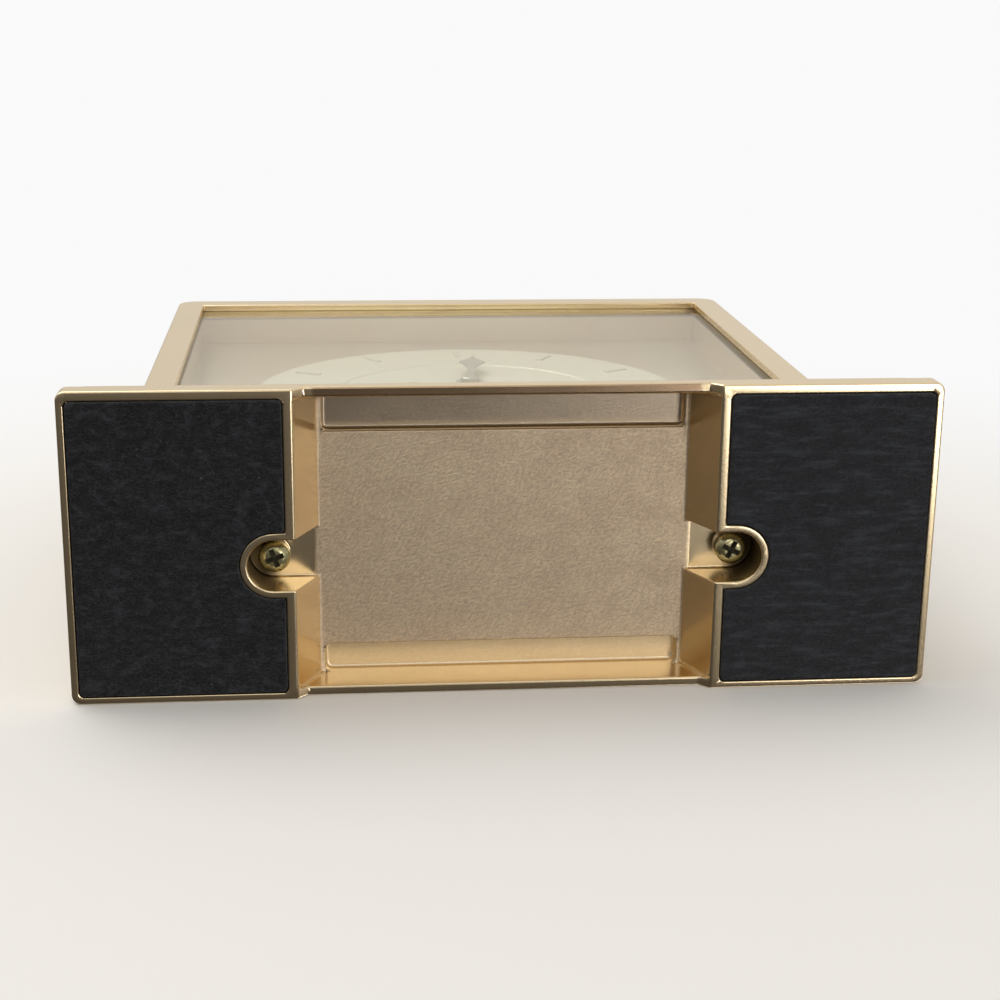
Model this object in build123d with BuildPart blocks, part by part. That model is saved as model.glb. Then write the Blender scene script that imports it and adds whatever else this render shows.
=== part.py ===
"""Gold desk clock: a cast base with felt feet, a cast case with glass and dial, and a quartz movement.

Units are millimetres.  +Z is up, the dial faces -Y and +X is to the right seen from the front.
The origin is on the surface the clock stands on, under the middle of the base.
"""
import os
from math import atan2, cos, pi, radians, sin, sqrt, tan

from build123d import *

# Base casting
base_width = 150.0
base_depth = 55.0
base_height = 22.0
felt_proud = 0.3
lip_height = 4.6
lip_corner_radius = 1.6
lip_edge_radius = 0.7
plinth_top = 12.8
plinth_inset = 0.9
plinth_rear_inset = 0.4
plinth_lean = 0.9
cove_steps = 8
deck_margin = 1.6

# Underside of the base, depths are measured up from the rims of the feet
channel_width = 72.6
channel_side_lean = 4.0
channel_depth = 8.3
end_wall = 1.45
front_wall_lean = 1.3
rear_wall_lean = 0.25
channel_corner_radius = 0.9
middle_rise = 1.75
middle_step_run = 1.7
front_pocket_width = 6.45
rear_pocket_width = 5.2
pocket_depth = 10.7
pocket_margin = 0.8
pocket_corner_radius = 1.2
pocket_floor_radius = 0.5
notch_inset = 3.7
notch_y = 3.2
notch_radius = 4.5
notch_rim = 1.3
screw_boss_radius = 2.4
screw_boss_height = 1.8

# Felt pads in the feet
felt_side_rim = 1.35
felt_front_rim = 1.7
felt_rear_rim = 1.2
felt_channel_rim = 1.7
felt_thickness = 1.3
felt_corner_radius = 0.9
felt_clearance = 0.05

# Case casting
overall_height = 150.0
case_side_inset = 9.0
case_front = -16.5
case_rear = 12.0
case_wall = 2.0
case_floor = 5.0
case_corner_radius = 4.0
frame_bar = 6.0
frame_lip = 1.6
case_edge_radius = 0.6
seat_clearance = 0.2

# Glass, spacers and dial, stacked from the frame lip towards the rear
glass_thickness = 2.0
front_spacer_depth = 5.9
front_spacer_width = 3.4
dial_thickness = 0.8
rear_spacer_width = 2.0
ring_outer_radius = 46.2
ring_inner_radius = 28.5
ring_thickness = 0.5
disc_thickness = 0.3
marker_length = 6.0
marker_width = 1.5
marker_height = 0.35
marker_radius = 40.0
hour_count = 12

# Hands
hand_thickness = 0.4
hour_hand_length = 17.0
hour_spade_length = 10.5
hour_spade_width = 6.4
minute_hand_length = 29.0
minute_spade_length = 18.0
minute_spade_width = 6.0
hand_stem_width = 2.0
hour_hub_radius = 3.6
minute_hub_radius = 3.0
hour_shown = 9
minute_shown = 1

# Rear cover and battery door
cover_thickness = 2.5
cover_skirt = 1.6
cover_skirt_wall = 1.6
cover_tab_width = 12.0
cover_tab_height = 1.0
cover_tab_depth = 1.2
door_thickness = 1.6
door_margin = 1.2
door_side_inset = 1.0
door_gap = 0.3
door_pin_radius = 0.8
door_pin_length = 1.6
door_pull_radius = 5.0

# Movement case and plates, heights and sides are measured from the hand arbor
movement_front = -5.5
movement_rear = 10.5
movement_top = 22.0
movement_bottom = -34.0
movement_wall = 1.2
movement_face = 1.1
movement_split = 2.0
bay_wall_height = -16.6
bay_rear = 9.0
middle_plate_front = 0.0
middle_plate_thickness = 1.0
post_radius = 1.3
bush_radius = 3.5
bush_front = -8.4
nut_thickness = 1.0
nut_across_flats = 9.6
nut_chamfer = 0.3
washer_radius = 9.0

# Arbors
running_clearance = 0.05
pivot_radius = 0.5
minute_tube_radius = 1.4
hour_tube_radius = 2.4
knob_arbor_radius = 1.0
hour_tube_front = -9.2
minute_arbor_front = -10.7
hour_hand_front = -9.1
minute_hand_front = -9.9
minute_seat_radius = 1.2
minute_thread_radius = 0.9
minute_cap_radius = 2.0
minute_cap_front = -11.0
minute_cap_edge_radius = 0.6
pivot_depth = 0.6
seconds_pivot_length = 2.7
clutch_radius = 3.0
clutch_gap = 0.05

# Gear train: teeth, module and the front and rear faces of each wheel
rotor_teeth = 8
middle_wheel_teeth = 40
middle_pinion_teeth = 10
seconds_wheel_teeth = 60
seconds_pinion_teeth = 8
third_wheel_teeth = 60
third_pinion_teeth = 8
centre_wheel_teeth = 64
cannon_pinion_teeth = 12
minute_wheel_teeth = 36
minute_pinion_teeth = 10
hour_wheel_teeth = 40
knob_pinion_teeth = 12
rotor_module = 0.30
seconds_module = 0.30
third_module = 0.36
motion_module = 0.50
pressure_angle = 20.0
tooth_share = 0.42
addendum = 0.80
dedendum = 1.15
wheel_thickness = 0.8
motion_thickness = 1.0
layer_hour = -4.1
layer_minute = -2.8
layer_centre = -1.5
layer_third = 1.5
layer_seconds = 2.9
layer_middle = 4.3
layer_gap = 0.3
pinion_spare = 0.1
third_direction = 200.0
middle_direction = 120.0
rotor_direction = 180.0
minute_direction = 30.0

# Motor, circuit and battery
magnet_radius = 2.7
magnet_front = 5.6
magnet_rear = 7.2
magnet_air_gap = 0.4
stator_front = 6.0
stator_thickness = 0.8
stator_half_length = 10.5
stator_half_width = 3.6
stator_leg_width = 3.0
stator_leg_gap = 0.2
coil_height = 17.2
coil_radius = 1.9
coil_core_height = 1.6
core_pad_height = 2.0
bobbin_wall = 0.35
bobbin_flange = 0.8
bobbin_end_gap = 0.3
winding_rim = 0.15
board_thickness = 0.8
board_front = 5.6
board_side = 21.0
board_wall_gap = 0.8
board_bottom = -15.2
board_post_inset = 2.0
chip_radius = 2.6
chip_height = 1.0
chip_edge_radius = 0.6
chip_from_left = 8.0
chip_from_bottom = 12.0
crystal_radius = 1.0
crystal_length = 6.0
crystal_from_right = 5.0
crystal_from_bottom = 6.0
battery_radius = 7.1
battery_length = 49.3
battery_button_radius = 2.75
battery_button_length = 1.0
battery_drop = -25.0
battery_rest = 0.5
battery_end_radius = 0.5
battery_spring_room = 2.9
contact_thickness = 0.4
contact_width = 9.0
contact_height = 11.0
spring_foot = 1.2
saddle_thickness = 1.6
saddle_spread = 14.0
saddle_spare = 0.8
knob_radius = 5.0
knob_front = 11.0
knob_rear = 16.2
knob_cap_thickness = 2.0
knob_grip_count = 24
knob_grip_radius = 0.5
knob_grip_proud = 0.25

# Fasteners
base_screw_radius = 1.5
base_screw_head_radius = 2.75
base_screw_head_height = 2.2
base_screw_length = 19.4
cover_screw_radius = 1.3
cover_screw_head_radius = 2.4
cover_screw_head_height = 1.6
cover_screw_length = 9.0
cover_screw_spare = 1.0
cover_screw_x = 48.0
screw_point_chamfer = 0.4
cross_width = 1.0
cross_length = 3.45
cross_start = 0.1
cross_depth = 1.3
cross_taper = 14

# Planes and levels worked out from the sizes above
rim_level = felt_proud
plateau_level = rim_level + channel_depth
pocket_level = rim_level + pocket_depth
middle_level = rim_level + middle_rise
lip_level = rim_level + lip_height
half_width = base_width / 2
half_depth = base_depth / 2
channel_half = channel_width / 2
channel_floor_half = channel_half - channel_side_lean
notch_x = channel_half + notch_inset
case_width = base_width - 2 * case_side_inset
case_half = case_width / 2
case_bottom = base_height
case_middle = (case_bottom + overall_height) / 2
case_tall = overall_height - case_bottom
inner_half = case_half - case_wall
inner_bottom = case_bottom + case_floor
inner_top = overall_height - case_wall
inner_middle = (inner_bottom + inner_top) / 2
stack_width = 2 * (inner_half - seat_clearance)
stack_tall = inner_top - inner_bottom - 2 * seat_clearance
window_width = case_width - 2 * frame_bar
window_bottom = case_bottom + frame_bar
window_top = overall_height - frame_bar
window_middle = (window_bottom + window_top) / 2
window_tall = window_top - window_bottom
dial_height = window_middle
glass_front = case_front + frame_lip
glass_rear = glass_front + glass_thickness
dial_front = glass_rear + front_spacer_depth
dial_rear = dial_front + dial_thickness
cover_rear = case_rear + cover_thickness
skirt_front = case_rear - cover_skirt


def facing(level, x=0.0, z=0.0):
    """A plane at depth y = level that faces the front, with its own x to the right and y upwards."""
    return Plane(origin=(x, level, z), x_dir=(1, 0, 0), z_dir=(0, -1, 0))


def dial_plane(level, spot=(0.0, 0.0)):
    """A front-facing plane centred on an axis of the movement, at a spot measured from the hands."""
    return facing(level, spot[0], dial_height + spot[1])


def polar(centre, distance, direction):
    """The spot at a distance from a centre, in a direction in degrees."""
    return (centre[0] + distance * cos(radians(direction)), centre[1] + distance * sin(radians(direction)))


def gear_points(teeth, module, phase):
    """Corner points of a gear outline with involute flanks and one tooth centred on the phase angle."""
    pitch_radius = teeth * module / 2
    base_radius = pitch_radius * cos(radians(pressure_angle))
    tip_radius = pitch_radius + addendum * module
    root_radius = pitch_radius - dedendum * module
    half_tooth = pi * tooth_share / teeth

    def half_angle(radius):
        if radius <= base_radius:
            roll = 0.0
        else:
            roll = sqrt((radius / base_radius) ** 2 - 1)
        at_radius = roll - atan2(roll, 1)
        at_pitch = tan(radians(pressure_angle)) - radians(pressure_angle)
        return half_tooth + at_pitch - at_radius

    radii = [root_radius, max(root_radius, base_radius), pitch_radius, tip_radius]
    points = []
    for tooth in range(teeth):
        middle = radians(phase) + 2 * pi * tooth / teeth
        rising = [(radius, middle - half_angle(radius)) for radius in radii]
        falling = [(radius, middle + half_angle(radius)) for radius in reversed(radii)]
        for radius, angle in rising + falling:
            spot = (radius * cos(angle), radius * sin(angle))
            if not points or (Vector(*spot) - Vector(*points[-1])).length > 0.005:
                points.append(spot)
    return points


def mesh_phases(direction, follower_teeth):
    """Phases of two meshed gears: the first has a tooth on the line of centres, the second a gap."""
    return direction, direction + 180 + 180 / follower_teeth


def centre_distance(first, second, module):
    """How far apart the axes of two meshed gears stand."""
    return (first + second) * module / 2


# Axes of the train, measured from the hand arbor
hands_spot = (0.0, 0.0)
third_distance = centre_distance(seconds_pinion_teeth, third_wheel_teeth,
                                 third_module)
third_spot = polar(hands_spot, third_distance, third_direction)
centre_module = 2 * third_distance / (third_pinion_teeth + centre_wheel_teeth)
middle_distance = centre_distance(middle_pinion_teeth, seconds_wheel_teeth,
                                  seconds_module)
middle_spot = polar(hands_spot, middle_distance, middle_direction)
rotor_distance = centre_distance(rotor_teeth, middle_wheel_teeth, rotor_module)
rotor_spot = polar(middle_spot, rotor_distance, rotor_direction)
minute_distance = centre_distance(cannon_pinion_teeth, minute_wheel_teeth, motion_module)
minute_spot = polar(hands_spot, minute_distance, minute_direction)
hour_module = 2 * minute_distance / (minute_pinion_teeth + hour_wheel_teeth)
knob_distance = centre_distance(knob_pinion_teeth, minute_wheel_teeth, motion_module)
knob_spot = polar(minute_spot, knob_distance, minute_direction)

centre_phase, third_pinion_phase = mesh_phases(third_direction, third_pinion_teeth)
seconds_pinion_phase, third_wheel_phase = mesh_phases(third_direction, third_wheel_teeth)
seconds_phase, middle_pinion_phase = mesh_phases(middle_direction, middle_pinion_teeth)
middle_phase, rotor_phase = mesh_phases(rotor_direction, rotor_teeth)
hour_phase, minute_pinion_phase = mesh_phases(minute_direction, minute_pinion_teeth)
minute_phase, cannon_phase = mesh_phases(minute_direction + 180, cannon_pinion_teeth)
knob_phase = mesh_phases(minute_direction, knob_pinion_teeth)[1]

inside_front = movement_front + movement_face
inside_rear = movement_rear - movement_wall
front_pivot_end = inside_front - pivot_depth
rear_pivot_end = inside_rear + pivot_depth
middle_plate_rear = middle_plate_front + middle_plate_thickness
battery_room = battery_length + battery_button_length + contact_thickness + battery_spring_room
bay_inner_half = battery_room / 2
movement_half_width = bay_inner_half + movement_wall

os.makedirs("parts", exist_ok=True)


# Base casting: a plinth with a stepped lip, a leaning skirt and a flat deck
foot_inner = channel_half + felt_channel_rim
foot_outer = half_width - felt_side_rim
felt_front = -half_depth + felt_front_rim
felt_rear = half_depth - felt_rear_rim
felt_size = (foot_outer - foot_inner, felt_rear - felt_front)
felt_centre_x = (foot_outer + foot_inner) / 2
felt_centre_y = (felt_front + felt_rear) / 2
recess_level = felt_thickness
inner_wall_front = -half_depth + end_wall
inner_wall_rear = half_depth - end_wall
floor_front = inner_wall_front + front_wall_lean
floor_rear = inner_wall_rear - rear_wall_lean
front_pocket_end = floor_front + front_pocket_width
rear_pocket_start = floor_rear - rear_pocket_width
screw_seat_level = plateau_level - screw_boss_height

# Outlines of the plinth as half width, front and rear: at the lip, at the plinth top and at the deck
plinth_low = (half_width - plinth_inset, -half_depth + plinth_inset, half_depth - plinth_rear_inset)
plinth_high = (plinth_low[0] - plinth_lean, plinth_low[1] + plinth_lean, plinth_low[2])
deck = (case_half + deck_margin, case_front - deck_margin, cover_rear + deck_margin)


def level_rectangle(level, outline, radius):
    """A rounded rectangle at a height, from its half width, front and rear."""
    with BuildSketch(Plane.XY.offset(level)) as rectangle:
        with Locations((0, (outline[1] + outline[2]) / 2)):
            RectangleRounded(2 * outline[0], outline[2] - outline[1], radius)
    return rectangle.sketch


def cove_outline(share):
    """Height and outline along the hollow curve from the plinth top to the deck, share from 0 to 1."""
    inward = sin(share * pi / 2)
    outline = [low + inward * (high - low) for low, high in zip(plinth_high, deck)]
    return plinth_top + (1 - cos(share * pi / 2)) * (base_height - plinth_top), outline


def notch_shape(radius):
    """The round-ended notch that opens into the channel, for the right foot, in the plane of the rims."""
    with Locations((notch_x, notch_y)):
        Circle(radius)
    with Locations(((notch_x + channel_floor_half) / 2, notch_y)):
        Rectangle(notch_x - channel_floor_half, 2 * radius)


# The hollow between the feet: leaning walls, a raised middle and a deeper pocket at either end
with BuildPart() as hollow:
    add(level_rectangle(rim_level, (channel_half, inner_wall_front, inner_wall_rear),
                        channel_corner_radius))
    add(level_rectangle(plateau_level, (channel_floor_half, floor_front, floor_rear),
                        channel_corner_radius))
    loft()
    pocket_half = channel_floor_half - pocket_margin
    add(level_rectangle(plateau_level, (pocket_half, floor_front, front_pocket_end),
                        channel_corner_radius))
    add(level_rectangle(plateau_level, (pocket_half, rear_pocket_start, floor_rear),
                        pocket_corner_radius))
    extrude(amount=pocket_depth - channel_depth)
    fillet(hollow.faces().sort_by(Axis.Z)[-2:].edges(), pocket_floor_radius)

with BuildPart() as base_casting:
    with BuildSketch(Plane.XY.offset(rim_level)):
        RectangleRounded(base_width, base_depth, lip_corner_radius)
    extrude(amount=lip_height)
    fillet(base_casting.faces().sort_by(Axis.Z)[-1].edges(), lip_edge_radius)
    add(level_rectangle(lip_level - lip_edge_radius, plinth_low, lip_corner_radius))
    add(level_rectangle(plinth_top, plinth_high, lip_corner_radius))
    loft()
    for step in range(cove_steps + 1):
        add(level_rectangle(*cove_outline(step / cove_steps), lip_corner_radius))
    loft(ruled=True)
    # The two feet are set off from the middle by a small step
    with BuildSketch(Plane.XZ.offset(-half_depth)):
        with BuildLine():
            Polyline((-channel_half, rim_level), (channel_half, rim_level),
                     (channel_half - middle_step_run, middle_level),
                     (middle_step_run - channel_half, middle_level), close=True)
        make_face()
    extrude(amount=base_depth, mode=Mode.SUBTRACT)
    add(hollow.part, mode=Mode.SUBTRACT)
    # Felt recesses, with a rim left round each notch
    with BuildSketch(Plane.XY.offset(rim_level)):
        with Locations((felt_centre_x, felt_centre_y)):
            RectangleRounded(*felt_size, felt_corner_radius)
        with BuildSketch(mode=Mode.SUBTRACT):
            notch_shape(notch_radius + notch_rim)
    extrude(amount=recess_level - rim_level, mode=Mode.SUBTRACT)
    with BuildSketch(Plane.XY.offset(rim_level)):
        notch_shape(notch_radius)
    extrude(amount=channel_depth, mode=Mode.SUBTRACT)
    # The screw's head seats on a low boss in the notch
    with BuildSketch(Plane.XY.offset(screw_seat_level)):
        with Locations((notch_x, notch_y)):
            Circle(screw_boss_radius)
    extrude(amount=screw_boss_height)
    with Locations((notch_x, notch_y, base_height)):
        Hole(base_screw_radius + running_clearance)
    # The left foot mirrors the right one
    split(bisect_by=Plane.YZ, keep=Keep.TOP)
    mirror(about=Plane.YZ)
base_casting.part.label = "base_casting"
export_step(base_casting.part, "parts/base_casting.step")


# Felt pads: one in each foot, a little proud of the rim
def felt_pad():
    """The pad of the right foot."""
    with BuildPart() as pad:
        with BuildSketch():
            with Locations((felt_centre_x, felt_centre_y)):
                RectangleRounded(felt_size[0] - 2 * felt_clearance, felt_size[1] - 2 * felt_clearance,
                                 felt_corner_radius)
            with BuildSketch(mode=Mode.SUBTRACT):
                notch_shape(notch_radius + notch_rim + felt_clearance)
        extrude(amount=felt_thickness)
    return pad.part


with BuildPart() as felt_pad_right:
    add(felt_pad())
felt_pad_right.part.label = "felt_pad_right"
export_step(felt_pad_right.part, "parts/felt_pad_right.step")

with BuildPart() as felt_pad_left:
    add(felt_pad().mirror(Plane.YZ))
felt_pad_left.part.label = "felt_pad_left"
export_step(felt_pad_left.part, "parts/felt_pad_left.step")


def pan_head_screw(radius, head_radius, head_height, length):
    """A pan head screw with its seat at the origin, its head along +Z and its shank along -Z."""
    with BuildPart() as screw:
        with BuildSketch(Plane.XZ):
            with BuildLine():
                dome_start = head_height * 0.55
                point_radius = radius - screw_point_chamfer
                point_top = screw_point_chamfer - length
                Line((0, -length), (point_radius, -length))
                Line((point_radius, -length), (radius, point_top))
                Line((radius, point_top), (radius, 0))
                Line((radius, 0), (head_radius, 0))
                Line((head_radius, 0), (head_radius, dome_start))
                flat_radius = head_radius * 0.35
                ThreePointArc((head_radius, dome_start),
                              (head_radius * 0.76, head_height * 0.88), (flat_radius, head_height))
                Line((flat_radius, head_height), (0, head_height))
                Line((0, head_height), (0, -length))
            make_face()
        revolve(axis=Axis.Z)
        with BuildSketch(Plane.XY.offset(head_height + cross_start)):
            Rectangle(cross_length, cross_width)
            Rectangle(cross_width, cross_length)
        extrude(amount=-cross_start - cross_depth, taper=cross_taper, mode=Mode.SUBTRACT)
    return screw.part


# Two screws come up through the notches and hold the case on the base
with BuildPart() as base_screws:
    screw = pan_head_screw(base_screw_radius, base_screw_head_radius, base_screw_head_height,
                           base_screw_length)
    for side, turn in ((-1, 20), (1, 64)):
        add(Location((side * notch_x, notch_y, screw_seat_level), (180, 0, turn)) * screw)
base_screws.part.label = "base_screws"
export_step(base_screws.part, "parts/base_screws.step")


# Case casting: square frame, side walls and a thick floor in one piece
def case_block(front, rear):
    """A block with the outline of the case between two levels, its top corners rounded."""
    with BuildPart() as block:
        with BuildSketch(facing(rear, 0, case_middle)):
            Rectangle(case_width, case_tall)
        extrude(amount=rear - front)
        fillet(block.edges().filter_by(Axis.Y).group_by(Axis.Z)[-1], case_corner_radius)
    return block.part


with BuildPart() as front_frame:
    add(case_block(case_front, case_rear))
    fillet(front_frame.faces().sort_by(Axis.Y)[0].edges(), case_edge_radius)
    with BuildSketch(facing(case_rear)):
        with Locations((0, inner_middle)):
            Rectangle(2 * inner_half, inner_top - inner_bottom)
    extrude(amount=case_rear - glass_front, mode=Mode.SUBTRACT)
    with BuildSketch(facing(glass_front)):
        with Locations((0, window_middle)):
            Rectangle(window_width, window_tall)
    extrude(amount=frame_lip, mode=Mode.SUBTRACT)
    # Threaded holes for the base screws, and pilot holes for the cover screws
    with Locations((-notch_x, notch_y, inner_bottom), (notch_x, notch_y, inner_bottom)):
        Hole(base_screw_radius, depth=case_floor)
    screw_level = case_bottom + case_floor / 2
    with BuildSketch(facing(case_rear)):
        with Locations((-cover_screw_x, screw_level), (cover_screw_x, screw_level)):
            Circle(cover_screw_radius)
    extrude(amount=cover_screw_length, mode=Mode.SUBTRACT)
    # Slots in the top wall take the tabs of the rear cover
    with BuildSketch(facing(skirt_front + cover_tab_depth + seat_clearance)):
        with Locations((-cover_screw_x, inner_top), (cover_screw_x, inner_top)):
            Rectangle(cover_tab_width + 2 * seat_clearance, 2 * (cover_tab_height + seat_clearance))
    extrude(amount=cover_tab_depth + 2 * seat_clearance, mode=Mode.SUBTRACT)
front_frame.part.label = "front_frame"
export_step(front_frame.part, "parts/front_frame.step")


# Glass pane behind the frame lip
with BuildPart() as glass:
    with BuildSketch(facing(glass_rear, 0, inner_middle)):
        Rectangle(stack_width, stack_tall)
    extrude(amount=glass_thickness)
glass.part.label = "glass"
export_step(glass.part, "parts/glass.step")

# Spacer frame between the glass and the dial
with BuildPart() as front_spacer:
    with BuildSketch(facing(dial_front, 0, inner_middle)):
        Rectangle(stack_width, stack_tall)
    extrude(amount=front_spacer_depth)
    with BuildSketch(facing(dial_front, 0, window_middle)):
        Rectangle(window_width + 2 * seat_clearance, window_tall + 2 * seat_clearance)
    extrude(amount=front_spacer_depth, mode=Mode.SUBTRACT)
front_spacer.part.label = "front_spacer"
export_step(front_spacer.part, "parts/front_spacer.step")

# Dial plate, with a pale disc and a raised pale ring on it
with BuildPart() as dial_plate:
    with BuildSketch(facing(dial_rear, 0, inner_middle)):
        Rectangle(stack_width, stack_tall)
    extrude(amount=dial_thickness)
    with BuildSketch(dial_plane(dial_rear)):
        Circle(bush_radius + running_clearance)
    extrude(amount=dial_thickness, mode=Mode.SUBTRACT)
dial_plate.part.label = "dial_plate"
export_step(dial_plate.part, "parts/dial_plate.step")

with BuildPart() as dial_disc:
    with BuildSketch(dial_plane(dial_front)):
        Circle(ring_inner_radius - running_clearance)
        Circle(bush_radius + running_clearance, mode=Mode.SUBTRACT)
    extrude(amount=disc_thickness)
dial_disc.part.label = "dial_disc"
export_step(dial_disc.part, "parts/dial_disc.step")

with BuildPart() as chapter_ring:
    with BuildSketch(dial_plane(dial_front)):
        Circle(ring_outer_radius)
        Circle(ring_inner_radius, mode=Mode.SUBTRACT)
    extrude(amount=ring_thickness)
    chamfer(chapter_ring.faces().sort_by(Axis.Y)[0].edges(), 0.2)
chapter_ring.part.label = "chapter_ring"
export_step(chapter_ring.part, "parts/chapter_ring.step")

ring_front = dial_front - ring_thickness
with BuildPart() as hour_markers:
    with BuildSketch(dial_plane(ring_front)):
        with PolarLocations(marker_radius, hour_count):
            Rectangle(marker_length, marker_width)
    extrude(amount=marker_height, taper=20)
hour_markers.part.label = "hour_markers"
export_step(hour_markers.part, "parts/hour_markers.step")

# Spacer frame between the dial and the rear cover
with BuildPart() as rear_spacer:
    with BuildSketch(facing(skirt_front, 0, inner_middle)):
        Rectangle(stack_width, stack_tall)
        Rectangle(stack_width - 2 * rear_spacer_width, stack_tall - 2 * rear_spacer_width,
                  mode=Mode.SUBTRACT)
    extrude(amount=skirt_front - dial_rear)
rear_spacer.part.label = "rear_spacer"
export_step(rear_spacer.part, "parts/rear_spacer.step")


# Rear cover: a plate with a skirt that holds the stack, an opening for the battery and one for the knob
door_half = movement_half_width - door_side_inset
door_bottom = dial_height + battery_drop - battery_radius - door_margin
door_top = dial_height + battery_drop + battery_radius + door_margin
door_axis_y = cover_rear - door_thickness / 2
door_axis_z = door_bottom + door_pin_radius + door_gap
with BuildPart() as rear_cover:
    add(case_block(case_rear, cover_rear))
    fillet(rear_cover.faces().sort_by(Axis.Y)[-1].edges(), case_edge_radius)
    with BuildSketch(facing(case_rear, 0, inner_middle)):
        Rectangle(stack_width, stack_tall)
        Rectangle(stack_width - 2 * cover_skirt_wall, stack_tall - 2 * cover_skirt_wall,
                  mode=Mode.SUBTRACT)
    extrude(amount=cover_skirt)
    with BuildSketch(facing(skirt_front + cover_tab_depth)):
        with Locations((-cover_screw_x, inner_top - cover_skirt_wall / 2),
                       (cover_screw_x, inner_top - cover_skirt_wall / 2)):
            Rectangle(cover_tab_width, cover_skirt_wall + 2 * cover_tab_height)
    extrude(amount=cover_tab_depth)
    with BuildSketch(facing(cover_rear)):
        with Locations((0, (door_bottom + door_top) / 2)):
            Rectangle(2 * door_half, door_top - door_bottom)
        with Locations((knob_spot[0], dial_height + knob_spot[1])):
            Circle(knob_radius + door_gap)
        with Locations((-cover_screw_x, screw_level), (cover_screw_x, screw_level)):
            Circle(cover_screw_radius + seat_clearance)
    extrude(amount=cover_thickness, mode=Mode.SUBTRACT)
    # Bearing holes for the pins of the battery door
    with BuildSketch(Plane.YZ.offset(-door_half - door_pin_length - door_gap)):
        with Locations((door_axis_y, door_axis_z)):
            Circle(door_pin_radius + running_clearance)
    extrude(amount=2 * (door_half + door_pin_length + door_gap), mode=Mode.SUBTRACT)
    # A finger notch above the door
    with BuildSketch(facing(cover_rear)):
        with Locations((0, door_top)):
            Circle(door_pull_radius)
    extrude(amount=door_thickness, mode=Mode.SUBTRACT)
rear_cover.part.label = "rear_cover"
export_step(rear_cover.part, "parts/rear_cover.step")

with BuildPart() as cover_screws:
    cover_screw = pan_head_screw(cover_screw_radius, cover_screw_head_radius, cover_screw_head_height,
                                 cover_screw_length + cover_thickness - cover_screw_spare)
    for side, turn in ((-1, 33), (1, 75)):
        add(Location((side * cover_screw_x, cover_rear, screw_level), (-90, 0, 0))
            * Rot(0, 0, turn) * cover_screw)
cover_screws.part.label = "cover_screws"
export_step(cover_screws.part, "parts/cover_screws.step")

# Battery door: hinged along its lower edge on two short pins
with BuildPart() as battery_door:
    door_upper = door_top - door_gap
    with BuildSketch(Plane.YZ.offset(door_gap - door_half)):
        with Locations((door_axis_y, (door_axis_z + door_upper) / 2)):
            Rectangle(door_thickness, door_upper - door_axis_z)
        with Locations((door_axis_y, door_axis_z)):
            Circle(door_pin_radius)
    extrude(amount=2 * (door_half - door_gap))
    with BuildSketch(Plane.YZ.offset(-door_half - door_pin_length)):
        with Locations((door_axis_y, door_axis_z)):
            Circle(door_pin_radius)
    extrude(amount=2 * (door_half + door_pin_length))
battery_door.part.label = "battery_door"
export_step(battery_door.part, "parts/battery_door.step")


# Movement case, front half: a tray with the battery bay, pivot holes and posts for the middle plate
post_x = bay_inner_half - post_radius
post_spots = [(side * post_x, level) for side in (-1, 1)
              for level in (bay_wall_height + movement_wall + post_radius,
                            movement_top - movement_wall - post_radius)]
movement_middle = (movement_top + movement_bottom) / 2
train_middle = (movement_top + bay_wall_height) / 2
train_tall = movement_top - bay_wall_height
bay_middle = (bay_wall_height + movement_bottom) / 2
bay_tall = bay_wall_height - movement_bottom
battery_y = inside_front + battery_rest + battery_radius
with BuildPart() as movement_front_case:
    with BuildSketch(dial_plane(inside_front)):
        with Locations((0, movement_middle)):
            Rectangle(2 * movement_half_width, movement_top - movement_bottom)
    extrude(amount=movement_face)
    with BuildSketch(dial_plane(movement_split)):
        with Locations((0, train_middle)):
            Rectangle(2 * movement_half_width, train_tall)
            Rectangle(2 * bay_inner_half, train_tall - 2 * movement_wall,
                      mode=Mode.SUBTRACT)
    extrude(amount=movement_split - inside_front)
    with BuildSketch(dial_plane(bay_rear)):
        with Locations((0, bay_middle)):
            Rectangle(2 * movement_half_width, bay_tall)
        with Locations((0, bay_middle)):
            Rectangle(2 * bay_inner_half, bay_tall - 2 * movement_wall,
                      mode=Mode.SUBTRACT)
    extrude(amount=bay_rear - inside_front)
    # Saddles under the battery
    with BuildSketch(dial_plane(battery_y)):
        with Locations((-saddle_spread, battery_drop), (saddle_spread, battery_drop)):
            Rectangle(saddle_thickness, 2 * battery_radius + saddle_spare)
    extrude(amount=battery_y - inside_front)
    with BuildSketch(Plane.YZ.offset(-bay_inner_half)):
        with Locations((battery_y, dial_height + battery_drop)):
            Circle(battery_radius + running_clearance)
    extrude(amount=2 * bay_inner_half, mode=Mode.SUBTRACT)
    # Posts for the middle plate, the hole for the bush and the blind pivot holes
    with BuildSketch(dial_plane(middle_plate_front)):
        with Locations(*post_spots):
            Circle(post_radius)
    extrude(amount=middle_plate_front - inside_front)
    with BuildSketch(dial_plane(inside_front)):
        Circle(bush_radius)
    extrude(amount=movement_face, mode=Mode.SUBTRACT)
    with BuildSketch(dial_plane(inside_front)):
        with Locations(third_spot, minute_spot):
            Circle(pivot_radius + running_clearance)
        with Locations(knob_spot):
            Circle(knob_arbor_radius + running_clearance)
    extrude(amount=pivot_depth + layer_gap / 2, mode=Mode.SUBTRACT)
movement_front_case.part.label = "movement_front_case"
export_step(movement_front_case.part, "parts/movement_front_case.step")

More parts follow.
